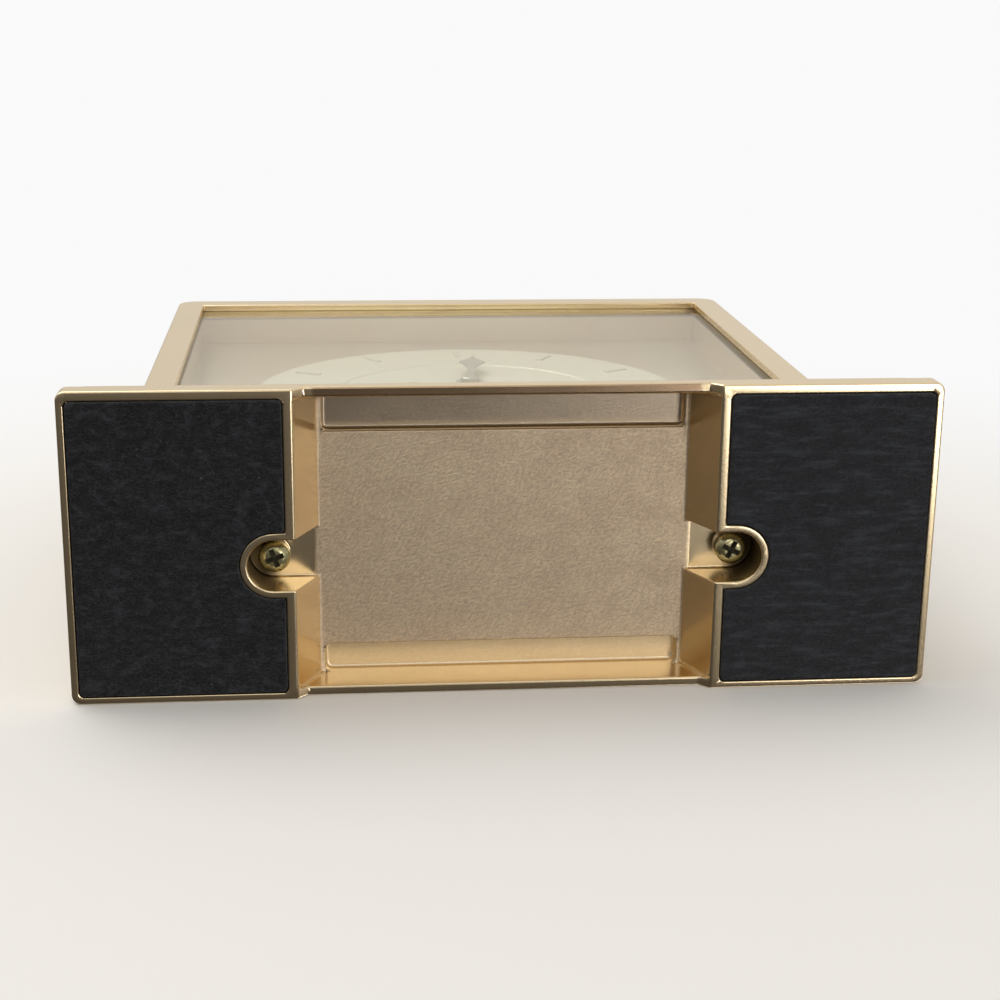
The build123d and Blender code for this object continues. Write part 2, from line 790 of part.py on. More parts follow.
# Movement case, rear half: covers the train only, with pivot holes and posts for the circuit board
board_right = bay_inner_half - board_wall_gap
board_left = board_right - board_side
board_top = board_bottom + board_side
board_rear = board_front + board_thickness
board_posts = [(across, level) for across in (board_left + board_post_inset, board_right - board_post_inset)
               for level in (board_bottom + board_post_inset, board_top - board_post_inset)]
with BuildPart() as movement_rear_case:
    with BuildSketch(dial_plane(movement_rear)):
        with Locations((0, train_middle)):
            Rectangle(2 * movement_half_width, train_tall)
    extrude(amount=movement_rear - movement_split)
    with BuildSketch(dial_plane(inside_rear)):
        with Locations((0, train_middle)):
            Rectangle(2 * bay_inner_half, train_tall - 2 * movement_wall)
    extrude(amount=inside_rear - movement_split, mode=Mode.SUBTRACT)
    with BuildSketch(dial_plane(inside_rear)):
        with Locations(*board_posts):
            Circle(post_radius)
    extrude(amount=inside_rear - board_rear)
    with BuildSketch(dial_plane(rear_pivot_end + layer_gap / 2)):
        with Locations(hands_spot, third_spot, middle_spot, rotor_spot):
            Circle(pivot_radius + running_clearance)
    extrude(amount=pivot_depth + layer_gap / 2, mode=Mode.SUBTRACT)
    with BuildSketch(dial_plane(movement_rear)):
        with Locations(knob_spot):
            Circle(knob_arbor_radius + running_clearance)
    extrude(amount=movement_wall, mode=Mode.SUBTRACT)
movement_rear_case.part.label = "movement_rear_case"
export_step(movement_rear_case.part, "parts/movement_rear_case.step")

# Middle plate, which carries the front pivots of the rotor and the wheel beside it
with BuildPart() as middle_plate:
    with BuildSketch(dial_plane(middle_plate_rear)):
        with Locations((0, train_middle)):
            Rectangle(2 * (bay_inner_half - seat_clearance),
                      train_tall - 2 * (movement_wall + seat_clearance))
        with Locations(third_spot, minute_spot, middle_spot, rotor_spot):
            Circle(pivot_radius + running_clearance, mode=Mode.SUBTRACT)
        with Locations(hands_spot):
            Circle(pivot_radius + running_clearance, mode=Mode.SUBTRACT)
        with Locations(knob_spot):
            Circle(knob_arbor_radius + running_clearance, mode=Mode.SUBTRACT)
    extrude(amount=middle_plate_thickness)
middle_plate.part.label = "middle_plate"
export_step(middle_plate.part, "parts/middle_plate.step")

# Threaded bush, rubber washer and nut that hold the movement on the dial
with BuildPart() as centre_bush:
    with BuildSketch(dial_plane(inside_front)):
        Circle(bush_radius)
        Circle(hour_tube_radius + running_clearance, mode=Mode.SUBTRACT)
    extrude(amount=inside_front - bush_front)
centre_bush.part.label = "centre_bush"
export_step(centre_bush.part, "parts/centre_bush.step")

with BuildPart() as dial_washer:
    with BuildSketch(dial_plane(movement_front)):
        Circle(washer_radius)
        Circle(bush_radius + running_clearance, mode=Mode.SUBTRACT)
    extrude(amount=movement_front - dial_rear)
dial_washer.part.label = "dial_washer"
export_step(dial_washer.part, "parts/dial_washer.step")

with BuildPart() as dial_nut:
    with BuildSketch(dial_plane(dial_front - disc_thickness)):
        RegularPolygon(nut_across_flats / 2, 6, major_radius=False)
        Circle(bush_radius, mode=Mode.SUBTRACT)
    extrude(amount=nut_thickness)
    chamfer(dial_nut.faces().sort_by(Axis.Y)[0].outer_wire().edges(), nut_chamfer)
dial_nut.part.label = "dial_nut"
export_step(dial_nut.part, "parts/dial_nut.step")


# Hands: spade shaped, set to the time shown
def spade_hand(front, length, spade, hub_radius, bore, turn):
    """A flat hand, turned clockwise from twelve, with its spade given as a length and a width."""
    spade_length, spade_width = spade
    half_stem = hand_stem_width / 2
    across = (cos(radians(turn)), 0, -sin(radians(turn)))
    tip = (0, length)
    point_side = (half_stem * 0.8, length - spade_length * 0.25)
    shoulder = (spade_width / 2, length - spade_length * 0.46)
    flank = (spade_width * 0.24, length - spade_length * 0.68)
    waist = (half_stem * 0.7, length - spade_length)
    stem_foot = (half_stem, hub_radius * 0.8)
    with BuildPart() as hand:
        with BuildSketch(Plane((0, front + hand_thickness, dial_height), across, (0, -1, 0))):
            with BuildLine():
                Spline(tip, point_side, shoulder, tangents=[(0.1, -1), (0.6, -1)])
                Spline(shoulder, flank, waist, tangents=[(-0.4, -1), (0, -1)])
                Line(waist, stem_foot)
                Line(stem_foot, (0, stem_foot[1]))
                Line((0, stem_foot[1]), tip)
            make_face()
            mirror(about=Plane.YZ)
            Circle(hub_radius)
            Circle(bore, mode=Mode.SUBTRACT)
        extrude(amount=hand_thickness)
    return hand.part


minute_hand_turn = 360 * minute_shown / 60
hour_hand_turn = 360 * (hour_shown + minute_shown / 60) / hour_count
with BuildPart() as hour_hand:
    add(spade_hand(hour_hand_front, hour_hand_length, (hour_spade_length, hour_spade_width),
                   hour_hub_radius, hour_tube_radius, hour_hand_turn))
hour_hand.part.label = "hour_hand"
export_step(hour_hand.part, "parts/hour_hand.step")

with BuildPart() as minute_hand:
    add(spade_hand(minute_hand_front, minute_hand_length, (minute_spade_length, minute_spade_width),
                   minute_hub_radius, minute_seat_radius, minute_hand_turn))
minute_hand.part.label = "minute_hand"
export_step(minute_hand.part, "parts/minute_hand.step")

with BuildPart() as minute_cap:
    with BuildSketch(dial_plane(minute_hand_front)):
        Circle(minute_cap_radius)
    extrude(amount=minute_hand_front - minute_cap_front)
    fillet(minute_cap.faces().sort_by(Axis.Y)[0].edges(), minute_cap_edge_radius)
    with BuildSketch(dial_plane(minute_hand_front)):
        Circle(minute_thread_radius)
    extrude(amount=minute_hand_front - minute_arbor_front, mode=Mode.SUBTRACT)
minute_cap.part.label = "minute_cap"
export_step(minute_cap.part, "parts/minute_cap.step")


def toothed(level, teeth, module, phase, thickness, spot):
    """A toothed disc whose front face is at a level, joined to the part being built."""
    with BuildSketch(dial_plane(level + thickness, spot)) as outline:
        with BuildLine():
            Polyline(*gear_points(teeth, module, phase), close=True)
        make_face()
    extrude(outline.sketch, amount=thickness)


def round_bar(front, rear, radius, spot, mode=Mode.ADD):
    """A round bar or bore between two levels."""
    with BuildSketch(dial_plane(rear, spot)) as outline:
        Circle(radius)
    extrude(outline.sketch, amount=rear - front, mode=mode)


# Hour wheel and its tube
hour_rear = layer_hour + motion_thickness
with BuildPart() as hour_wheel:
    toothed(layer_hour, hour_wheel_teeth, hour_module, hour_phase, motion_thickness, hands_spot)
    round_bar(hour_tube_front, hour_rear, hour_tube_radius, hands_spot)
    round_bar(hour_tube_front, hour_rear, minute_tube_radius + running_clearance, hands_spot,
              Mode.SUBTRACT)
hour_wheel.part.label = "hour_wheel"
export_step(hour_wheel.part, "parts/hour_wheel.step")

# Minute arbor with the cannon pinion, and the bore that takes the front pivot of the seconds arbor
minute_arbor_rear = middle_plate_front - layer_gap
seconds_pivot_front = minute_arbor_rear - seconds_pivot_length
with BuildPart() as minute_arbor:
    round_bar(minute_hand_front + hand_thickness, minute_arbor_rear, minute_tube_radius, hands_spot)
    round_bar(minute_hand_front, minute_hand_front + hand_thickness, minute_seat_radius, hands_spot)
    round_bar(minute_arbor_front, minute_hand_front, minute_thread_radius, hands_spot)
    toothed(layer_minute, cannon_pinion_teeth, motion_module, cannon_phase, motion_thickness,
            hands_spot)
    round_bar(seconds_pivot_front - layer_gap, minute_arbor_rear, pivot_radius + running_clearance,
              hands_spot, Mode.SUBTRACT)
minute_arbor.part.label = "minute_arbor"
export_step(minute_arbor.part, "parts/minute_arbor.step")

# Slip clutch washer between the cannon pinion and the centre wheel
minute_rear = layer_minute + motion_thickness
with BuildPart() as clutch_washer:
    with BuildSketch(dial_plane(layer_centre - clutch_gap)):
        Circle(clutch_radius)
        Circle(minute_tube_radius, mode=Mode.SUBTRACT)
    extrude(amount=layer_centre - clutch_gap - minute_rear)
clutch_washer.part.label = "clutch_washer"
export_step(clutch_washer.part, "parts/clutch_washer.step")

with BuildPart() as centre_wheel:
    toothed(layer_centre, centre_wheel_teeth, centre_module, centre_phase, wheel_thickness,
            hands_spot)
    round_bar(layer_centre, layer_centre + wheel_thickness, minute_tube_radius + running_clearance,
              hands_spot, Mode.SUBTRACT)
centre_wheel.part.label = "centre_wheel"
export_step(centre_wheel.part, "parts/centre_wheel.step")

# Minute wheel with its pinion
with BuildPart() as minute_wheel:
    toothed(layer_minute, minute_wheel_teeth, motion_module, minute_phase, motion_thickness,
            minute_spot)
    toothed(layer_hour, minute_pinion_teeth, hour_module, minute_pinion_phase,
            layer_minute - layer_hour, minute_spot)
    round_bar(front_pivot_end, middle_plate_rear - seat_clearance, pivot_radius, minute_spot)
minute_wheel.part.label = "minute_wheel"
export_step(minute_wheel.part, "parts/minute_wheel.step")

# Setting arbor with its pinion, and the knob on its rear end
with BuildPart() as setting_arbor:
    toothed(layer_minute, knob_pinion_teeth, motion_module, knob_phase, motion_thickness,
            knob_spot)
    round_bar(front_pivot_end, knob_rear - knob_cap_thickness, knob_arbor_radius, knob_spot)
setting_arbor.part.label = "setting_arbor"
export_step(setting_arbor.part, "parts/setting_arbor.step")

with BuildPart() as setting_knob:
    with BuildSketch(dial_plane(knob_rear, knob_spot)):
        Circle(knob_radius)
        with PolarLocations(knob_radius + knob_grip_proud, knob_grip_count):
            Circle(knob_grip_radius, mode=Mode.SUBTRACT)
    extrude(amount=knob_rear - knob_front)
    round_bar(knob_front, knob_rear - knob_cap_thickness, knob_arbor_radius, knob_spot, Mode.SUBTRACT)
setting_knob.part.label = "setting_knob"
export_step(setting_knob.part, "parts/setting_knob.step")

# Third wheel, seconds wheel and the wheel between it and the rotor
pinion_thickness = wheel_thickness + 2 * pinion_spare
with BuildPart() as third_wheel:
    toothed(layer_third, third_wheel_teeth, third_module, third_wheel_phase,
            wheel_thickness, third_spot)
    toothed(layer_centre - pinion_spare, third_pinion_teeth, centre_module, third_pinion_phase,
            pinion_thickness, third_spot)
    round_bar(front_pivot_end, rear_pivot_end, pivot_radius, third_spot)
third_wheel.part.label = "third_wheel"
export_step(third_wheel.part, "parts/third_wheel.step")

with BuildPart() as seconds_wheel:
    toothed(layer_seconds, seconds_wheel_teeth, seconds_module, seconds_phase,
            wheel_thickness, hands_spot)
    toothed(layer_third - pinion_spare, seconds_pinion_teeth, third_module, seconds_pinion_phase,
            pinion_thickness, hands_spot)
    round_bar(seconds_pivot_front, rear_pivot_end, pivot_radius, hands_spot)
seconds_wheel.part.label = "seconds_wheel"
export_step(seconds_wheel.part, "parts/seconds_wheel.step")

with BuildPart() as intermediate_wheel:
    toothed(layer_middle, middle_wheel_teeth, rotor_module, middle_phase, wheel_thickness,
            middle_spot)
    toothed(layer_seconds - pinion_spare, middle_pinion_teeth, seconds_module, middle_pinion_phase,
            pinion_thickness, middle_spot)
    round_bar(middle_plate_front + seat_clearance, rear_pivot_end, pivot_radius, middle_spot)
intermediate_wheel.part.label = "intermediate_wheel"
export_step(intermediate_wheel.part, "parts/intermediate_wheel.step")

# Rotor: a pinion on an arbor, and a magnet pressed on it
with BuildPart() as rotor_pinion:
    toothed(layer_middle - pinion_spare, rotor_teeth, rotor_module, rotor_phase,
            pinion_thickness, rotor_spot)
    round_bar(middle_plate_front + seat_clearance, rear_pivot_end, pivot_radius, rotor_spot)
rotor_pinion.part.label = "rotor_pinion"
export_step(rotor_pinion.part, "parts/rotor_pinion.step")

with BuildPart() as rotor_magnet:
    round_bar(magnet_front, magnet_rear, magnet_radius, rotor_spot)
    round_bar(magnet_front, magnet_rear, pivot_radius, rotor_spot, Mode.SUBTRACT)
rotor_magnet.part.label = "rotor_magnet"
export_step(rotor_magnet.part, "parts/rotor_magnet.step")

# Stator plate round the magnet, with two legs that carry the core of the coil
stator_rear = stator_front + stator_thickness
stator_left = rotor_spot[0] - stator_half_length
stator_right = rotor_spot[0] + stator_half_length
leg_top = coil_height - coil_core_height / 2 - stator_leg_gap
leg_bottom = rotor_spot[1] - stator_half_width
leg_spots = [(stator_left + stator_leg_width / 2, (leg_top + leg_bottom) / 2),
             (stator_right - stator_leg_width / 2, (leg_top + leg_bottom) / 2)]
with BuildPart() as stator:
    with BuildSketch(dial_plane(stator_rear)):
        with Locations(rotor_spot):
            Rectangle(2 * stator_half_length, 2 * stator_half_width)
        with Locations(*leg_spots):
            Rectangle(stator_leg_width, leg_top - leg_bottom)
        with Locations(rotor_spot):
            Circle(magnet_radius + magnet_air_gap, mode=Mode.SUBTRACT)
        with Locations(middle_spot):
            Circle(pivot_radius + magnet_air_gap, mode=Mode.SUBTRACT)
    extrude(amount=stator_thickness)
stator.part.label = "stator"
export_step(stator.part, "parts/stator.step")

core_pad_bottom = leg_top - core_pad_height
core_top = coil_height + coil_core_height / 2
with BuildPart() as coil_core:
    with BuildSketch(dial_plane(stator_rear + stator_thickness)):
        with Locations((rotor_spot[0], coil_height)):
            Rectangle(2 * stator_half_length, coil_core_height)
        with Locations((leg_spots[0][0], (core_top + core_pad_bottom) / 2),
                       (leg_spots[1][0], (core_top + core_pad_bottom) / 2)):
            Rectangle(stator_leg_width, core_top - core_pad_bottom)
    extrude(amount=stator_thickness)
coil_core.part.label = "coil_core"
export_step(coil_core.part, "parts/coil_core.step")

# Coil bobbin round the core, and the winding on it
coil_y = stator_rear + stator_thickness / 2
coil_half = stator_half_length - stator_leg_width - bobbin_end_gap
bobbin_half_tall = coil_core_height / 2 + running_clearance
bobbin_half_deep = stator_thickness / 2 + running_clearance
barrel_radius = sqrt(bobbin_half_tall ** 2 + bobbin_half_deep ** 2) + bobbin_wall
coil_plane_left = Plane.YZ.offset(rotor_spot[0] - coil_half)
coil_plane_right = Plane.YZ.offset(rotor_spot[0] + coil_half - bobbin_flange)
coil_spot = (coil_y, dial_height + coil_height)
with BuildPart() as coil_bobbin:
    with BuildSketch(coil_plane_left):
        with Locations(coil_spot):
            Circle(barrel_radius)
    extrude(amount=2 * coil_half)
    with BuildSketch(coil_plane_left, coil_plane_right):
        with Locations(coil_spot):
            Circle(coil_radius)
    extrude(amount=bobbin_flange)
    with BuildSketch(coil_plane_left):
        with Locations(coil_spot):
            Rectangle(2 * bobbin_half_deep, 2 * bobbin_half_tall)
    extrude(amount=2 * coil_half, mode=Mode.SUBTRACT)
coil_bobbin.part.label = "coil_bobbin"
export_step(coil_bobbin.part, "parts/coil_bobbin.step")

with BuildPart() as coil_winding:
    with BuildSketch(coil_plane_left.offset(bobbin_flange)):
        with Locations(coil_spot):
            Circle(coil_radius - winding_rim)
            Circle(barrel_radius, mode=Mode.SUBTRACT)
    extrude(amount=2 * (coil_half - bobbin_flange))
coil_winding.part.label = "coil_winding"
export_step(coil_winding.part, "parts/coil_winding.step")

# Circuit board with its chip and the quartz crystal
board_middle = ((board_left + board_right) / 2, (board_bottom + board_top) / 2)
with BuildPart() as circuit_board:
    with BuildSketch(dial_plane(board_rear, board_middle)):
        Rectangle(board_side, board_side)
    extrude(amount=board_thickness)
circuit_board.part.label = "circuit_board"
export_step(circuit_board.part, "parts/circuit_board.step")

chip_spot = (board_left + chip_from_left, board_bottom + chip_from_bottom)
with BuildPart() as circuit_chip:
    with BuildSketch(dial_plane(board_rear + chip_height, chip_spot)):
        Circle(chip_radius)
    extrude(amount=chip_height)
    fillet(circuit_chip.faces().sort_by(Axis.Y)[-1].edges(), chip_edge_radius)
circuit_chip.part.label = "circuit_chip"
export_step(circuit_chip.part, "parts/circuit_chip.step")

with BuildPart() as quartz_crystal:
    with BuildSketch(Plane.XY.offset(dial_height + board_bottom + crystal_from_bottom)):
        with Locations((board_right - crystal_from_right, board_rear + crystal_radius)):
            Circle(crystal_radius)
    extrude(amount=crystal_length)
quartz_crystal.part.label = "quartz_crystal"
export_step(quartz_crystal.part, "parts/quartz_crystal.step")

# Battery across the bay, with a flat contact and a bowed one
battery_z = dial_height + battery_drop
battery_end = bay_inner_half - contact_thickness - battery_button_length
battery_start = battery_end - battery_length
with BuildPart() as battery:
    with BuildSketch(Plane.YZ.offset(battery_start)):
        with Locations((battery_y, battery_z)):
            Circle(battery_radius)
    extrude(amount=battery_length)
    fillet(battery.faces().sort_by(Axis.X)[0].edges(), battery_end_radius)
    with BuildSketch(Plane.YZ.offset(battery_end)):
        with Locations((battery_y, battery_z)):
            Circle(battery_button_radius)
    extrude(amount=battery_button_length)
battery.part.label = "battery"
export_step(battery.part, "parts/battery.step")

with BuildPart() as positive_contact:
    with BuildSketch(Plane.YZ.offset(bay_inner_half - contact_thickness)):
        with Locations((battery_y, battery_z)):
            Rectangle(contact_width, contact_height)
    extrude(amount=contact_thickness)
positive_contact.part.label = "positive_contact"
export_step(positive_contact.part, "parts/positive_contact.step")

with BuildPart() as negative_contact:
    with BuildSketch(Plane.XZ.offset(-battery_y - contact_width / 2)):
        with BuildLine():
            left = -bay_inner_half
            low = battery_z - contact_height / 2
            high = battery_z + contact_height / 2
            ThreePointArc((left, low), (battery_start, battery_z), (left, high))
            Line((left, high), (left, high - spring_foot))
            ThreePointArc((left, high - spring_foot), (battery_start - contact_thickness, battery_z),
                          (left, low + spring_foot))
            Line((left, low + spring_foot), (left, low))
        make_face()
    extrude(amount=contact_width)
negative_contact.part.label = "negative_contact"
export_step(negative_contact.part, "parts/negative_contact.step")
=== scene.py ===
"""Looks of the gold desk clock: finishes for its cast and moulded pieces, felt, hands, dial and stage."""
import math

import bpy
from bpy.props import FloatProperty, FloatVectorProperty, IntProperty, PointerProperty
from mathutils import Euler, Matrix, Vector


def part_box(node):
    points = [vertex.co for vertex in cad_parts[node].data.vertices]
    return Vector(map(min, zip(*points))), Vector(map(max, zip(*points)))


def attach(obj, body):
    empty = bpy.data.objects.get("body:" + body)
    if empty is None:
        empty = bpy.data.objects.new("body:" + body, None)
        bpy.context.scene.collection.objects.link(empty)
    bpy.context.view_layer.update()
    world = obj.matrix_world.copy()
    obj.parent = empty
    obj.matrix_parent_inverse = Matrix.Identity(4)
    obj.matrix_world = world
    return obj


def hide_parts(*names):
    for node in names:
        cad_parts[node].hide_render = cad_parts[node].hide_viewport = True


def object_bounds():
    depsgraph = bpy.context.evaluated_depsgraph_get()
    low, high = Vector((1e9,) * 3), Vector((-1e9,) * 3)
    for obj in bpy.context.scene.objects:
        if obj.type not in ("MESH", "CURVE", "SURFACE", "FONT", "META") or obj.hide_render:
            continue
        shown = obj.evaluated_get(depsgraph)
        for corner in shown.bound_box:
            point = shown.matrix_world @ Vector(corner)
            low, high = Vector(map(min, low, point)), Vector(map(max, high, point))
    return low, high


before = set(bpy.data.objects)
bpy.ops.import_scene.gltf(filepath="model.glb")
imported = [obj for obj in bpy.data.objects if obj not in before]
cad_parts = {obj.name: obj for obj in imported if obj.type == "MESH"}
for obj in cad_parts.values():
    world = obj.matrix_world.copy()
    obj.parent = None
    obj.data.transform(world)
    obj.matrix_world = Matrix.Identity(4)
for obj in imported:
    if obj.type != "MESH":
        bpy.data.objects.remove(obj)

bl_info = {
    "name": "Gold Desk Clock",
    "version": (1, 0, 0),
    "blender": (4, 5, 0),
    "location": "3D View > Sidebar > Desk Clock",
    "description": "Dresses the desk clock's frame with finishes, felt, hands, dial marks and a stage",
    "category": "Object",
}

MM = 0.001
IN_MM = 1000.0
CAD_LOW, CAD_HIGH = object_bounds()

# Meshes: merging distance, and angles in degrees past which an edge is rounded or shaded sharp
MERGE = 0.002 * MM
FLAT_ANGLE = 0.5
SHARP_ANGLE = 28.0
SHADE_ANGLE = 35.0
EDGE_SEGMENTS = 3

# Ribs on the battery door
RIB_SIDES = 24
RIB_SPREAD = 1.6
RIB_HEIGHT = 0.35 * MM
RIB_LENGTH = 16.0 * MM
RIB_PITCH = 1.3 * MM
RIB_DROP = 2.2 * MM

# Places on the base, in millimetres, the tones of its blasted floor and the painted shade in its front
# pocket, below its rim, in the screws' notches and round the screw heads; the grain of the blasted floor is
# turned by GRAIN_TURN
GRAIN_TURN = 32.0
FLOOR_DARK, FLOOR_PALE = (0.69, 0.53, 0.46), (0.80, 0.64, 0.53)
POCKET_PAINTED_SHADE = (0.36, 0.30, 0.25)
RIM_PAINTED_SHADE = (0.36, 0.22, 0.14)
NOTCH_PAINTED_SHADE = (0.26, 0.19, 0.09)
SEAT_PAINTED_SHADOW = (0.04, 0.03, 0.015)
CHANNEL_HALF = 33.0
FLOOR_LEVEL = 8.2
POCKET_LEVEL = 9.8
CHANNEL_TOP = 13.5
RIM_START, RIM_END = -27.4, -24.2
RIM_LEVEL = 1.4
NOTCH_RADIUS = 4.6
NOTCH_MOUTH = 1.8
NOTCH_SEAT = 7.8

# Base screws, in millimetres: radius of the head and the cross, rise of the crown, depths of the cross
SCREW_HEAD = 2.75
SCREW_CROSS = 1.95
SCREW_CROWN = 0.06
CROSS_START = 0.105
CROSS_BOTTOM = 1.425

# Felt and battery, in millimetres; the felt's unevenness sinks in from the level FUZZ_TOP
FUZZ_GRAIN = 0.9
FUZZ_TOP = 0.95
NAP_WIDTH = 10.0
LINT = (0.16, 0.16, 0.165)
BAND_LENGTH = 13.8
BARE_STEEL = (0.62, 0.62, 0.63)

# Stage, in metres and degrees, with the sensor in millimetres
FADE_NEAR = 0.11
FADE_FAR = 0.32
STAGE_WHITE = 0.95
STAGE_SIZE = 6.0
AIM = (0.0, 0.0, 0.06)
LAMPS = {
    "main_lamp": ((-0.55, -1.0, 0.35), 1.1),
    "under_lamp": ((0.50, 0.05, -1.10), 0.5),
    "fill_lamp": ((0.02, -0.48, -1.10), 0.5),
    "rear_lamp": ((0.6, 1.0, 0.75), 0.9),
}
LAMP_COLOUR = (1.0, 0.965, 0.91)
WHITE = (1.0, 1.0, 1.0)
WORLD_COOL, WORLD_WARM = (1.0, 0.96, 0.90), (1.0, 0.80, 0.62)
SENSOR = 36.0
CAMERA_PLACE = (-0.03021, -0.09357, -0.29622)
CAMERA_TURN = (163.8989, 5.3672, -0.5791)


# Sizes and colours that a user would change

class ClockSizes(bpy.types.PropertyGroup):
    """Sizes of the pieces that are modelled here."""
    felt_cell: FloatProperty(name="Felt cell", description="Width of a mesh cell in the felt pads",
                             default=0.42 * MM, unit="LENGTH", precision=5)
    felt_fuzz: FloatProperty(name="Felt fuzz", description="Height of the uneven surface of the felt",
                             default=0.07 * MM, unit="LENGTH", precision=5)
    hand_crown: FloatProperty(name="Hand crown", description="How far the hands' edges are bevelled",
                              default=0.13 * MM, unit="LENGTH", precision=5)
    cast_edge: FloatProperty(name="Casting edge", description="Rounding of the castings' edges",
                             default=0.32 * MM, unit="LENGTH", precision=5)
    moulded_edge: FloatProperty(name="Moulded edge", description="Rounding of the plastic pieces' edges",
                                default=0.12 * MM, unit="LENGTH", precision=5)
    grip_ribs: IntProperty(name="Grip ribs", description="Number of ribs on the battery door", default=7,
                           min=1)


class ClockColours(bpy.types.PropertyGroup):
    """Colours of the finishes."""
    gold: FloatVectorProperty(name="Gold", description="Satin gold of the castings", size=3,
                              default=(0.91, 0.75, 0.50), subtype="COLOR")
    felt: FloatVectorProperty(name="Felt", description="Black of the felt pads", size=3,
                              default=(0.0190, 0.0208, 0.0250), subtype="COLOR")
    dial: FloatVectorProperty(name="Dial", description="Champagne of the dial plate", size=3,
                              default=(0.80, 0.70, 0.55), subtype="COLOR")
    ring: FloatVectorProperty(name="Ring", description="Pale tone of the chapter ring and disc", size=3,
                              default=(0.90, 0.87, 0.73), subtype="COLOR")
    hands: FloatVectorProperty(name="Hands", description="Grey of the spade hands", size=3,
                               default=(0.66, 0.63, 0.54), subtype="COLOR")
    floor: FloatVectorProperty(name="Floor", description="Pale floor and backdrop", size=3,
                               default=(0.86, 0.86, 0.86), subtype="COLOR")


class StageLevels(bpy.types.PropertyGroup):
    """Camera and light of the stage."""
    lens: FloatProperty(name="Lens", description="Focal length on a 36 mm wide sensor", default=65.565)
    main_lamp: FloatProperty(name="Main lamp", description="Power of the large lamp above the dial",
                             default=6.5, unit="POWER")
    under_lamp: FloatProperty(name="Under lamp", description="Power of the lamp that lights the underside",
                              default=2.5, unit="POWER")
    fill_lamp: FloatProperty(name="Fill lamp", description="Power of the lamp beside the camera",
                             default=0.55, unit="POWER")
    rear_lamp: FloatProperty(name="Rear lamp", description="Power of the lamp behind the clock",
                             default=5.0, unit="POWER")


# Shader expressions

class Value:
    """An output of a node that can be used in sums."""

    def __init__(self, finish, socket):
        self.finish, self.socket = finish, socket

    def sum(self, operation, *others):
        return self.finish.add("Math", dict(enumerate((self,) + others)), operation=operation)

    def __add__(self, other):
        return self.sum("ADD", other)

    def __mul__(self, other):
        return self.sum("MULTIPLY", other)

    def __sub__(self, other):
        return self.sum("SUBTRACT", other)

    def __rsub__(self, other):
        return self.finish.add("Math", {0: other, 1: self}, operation="SUBTRACT")

    __radd__, __rmul__ = __add__, __mul__


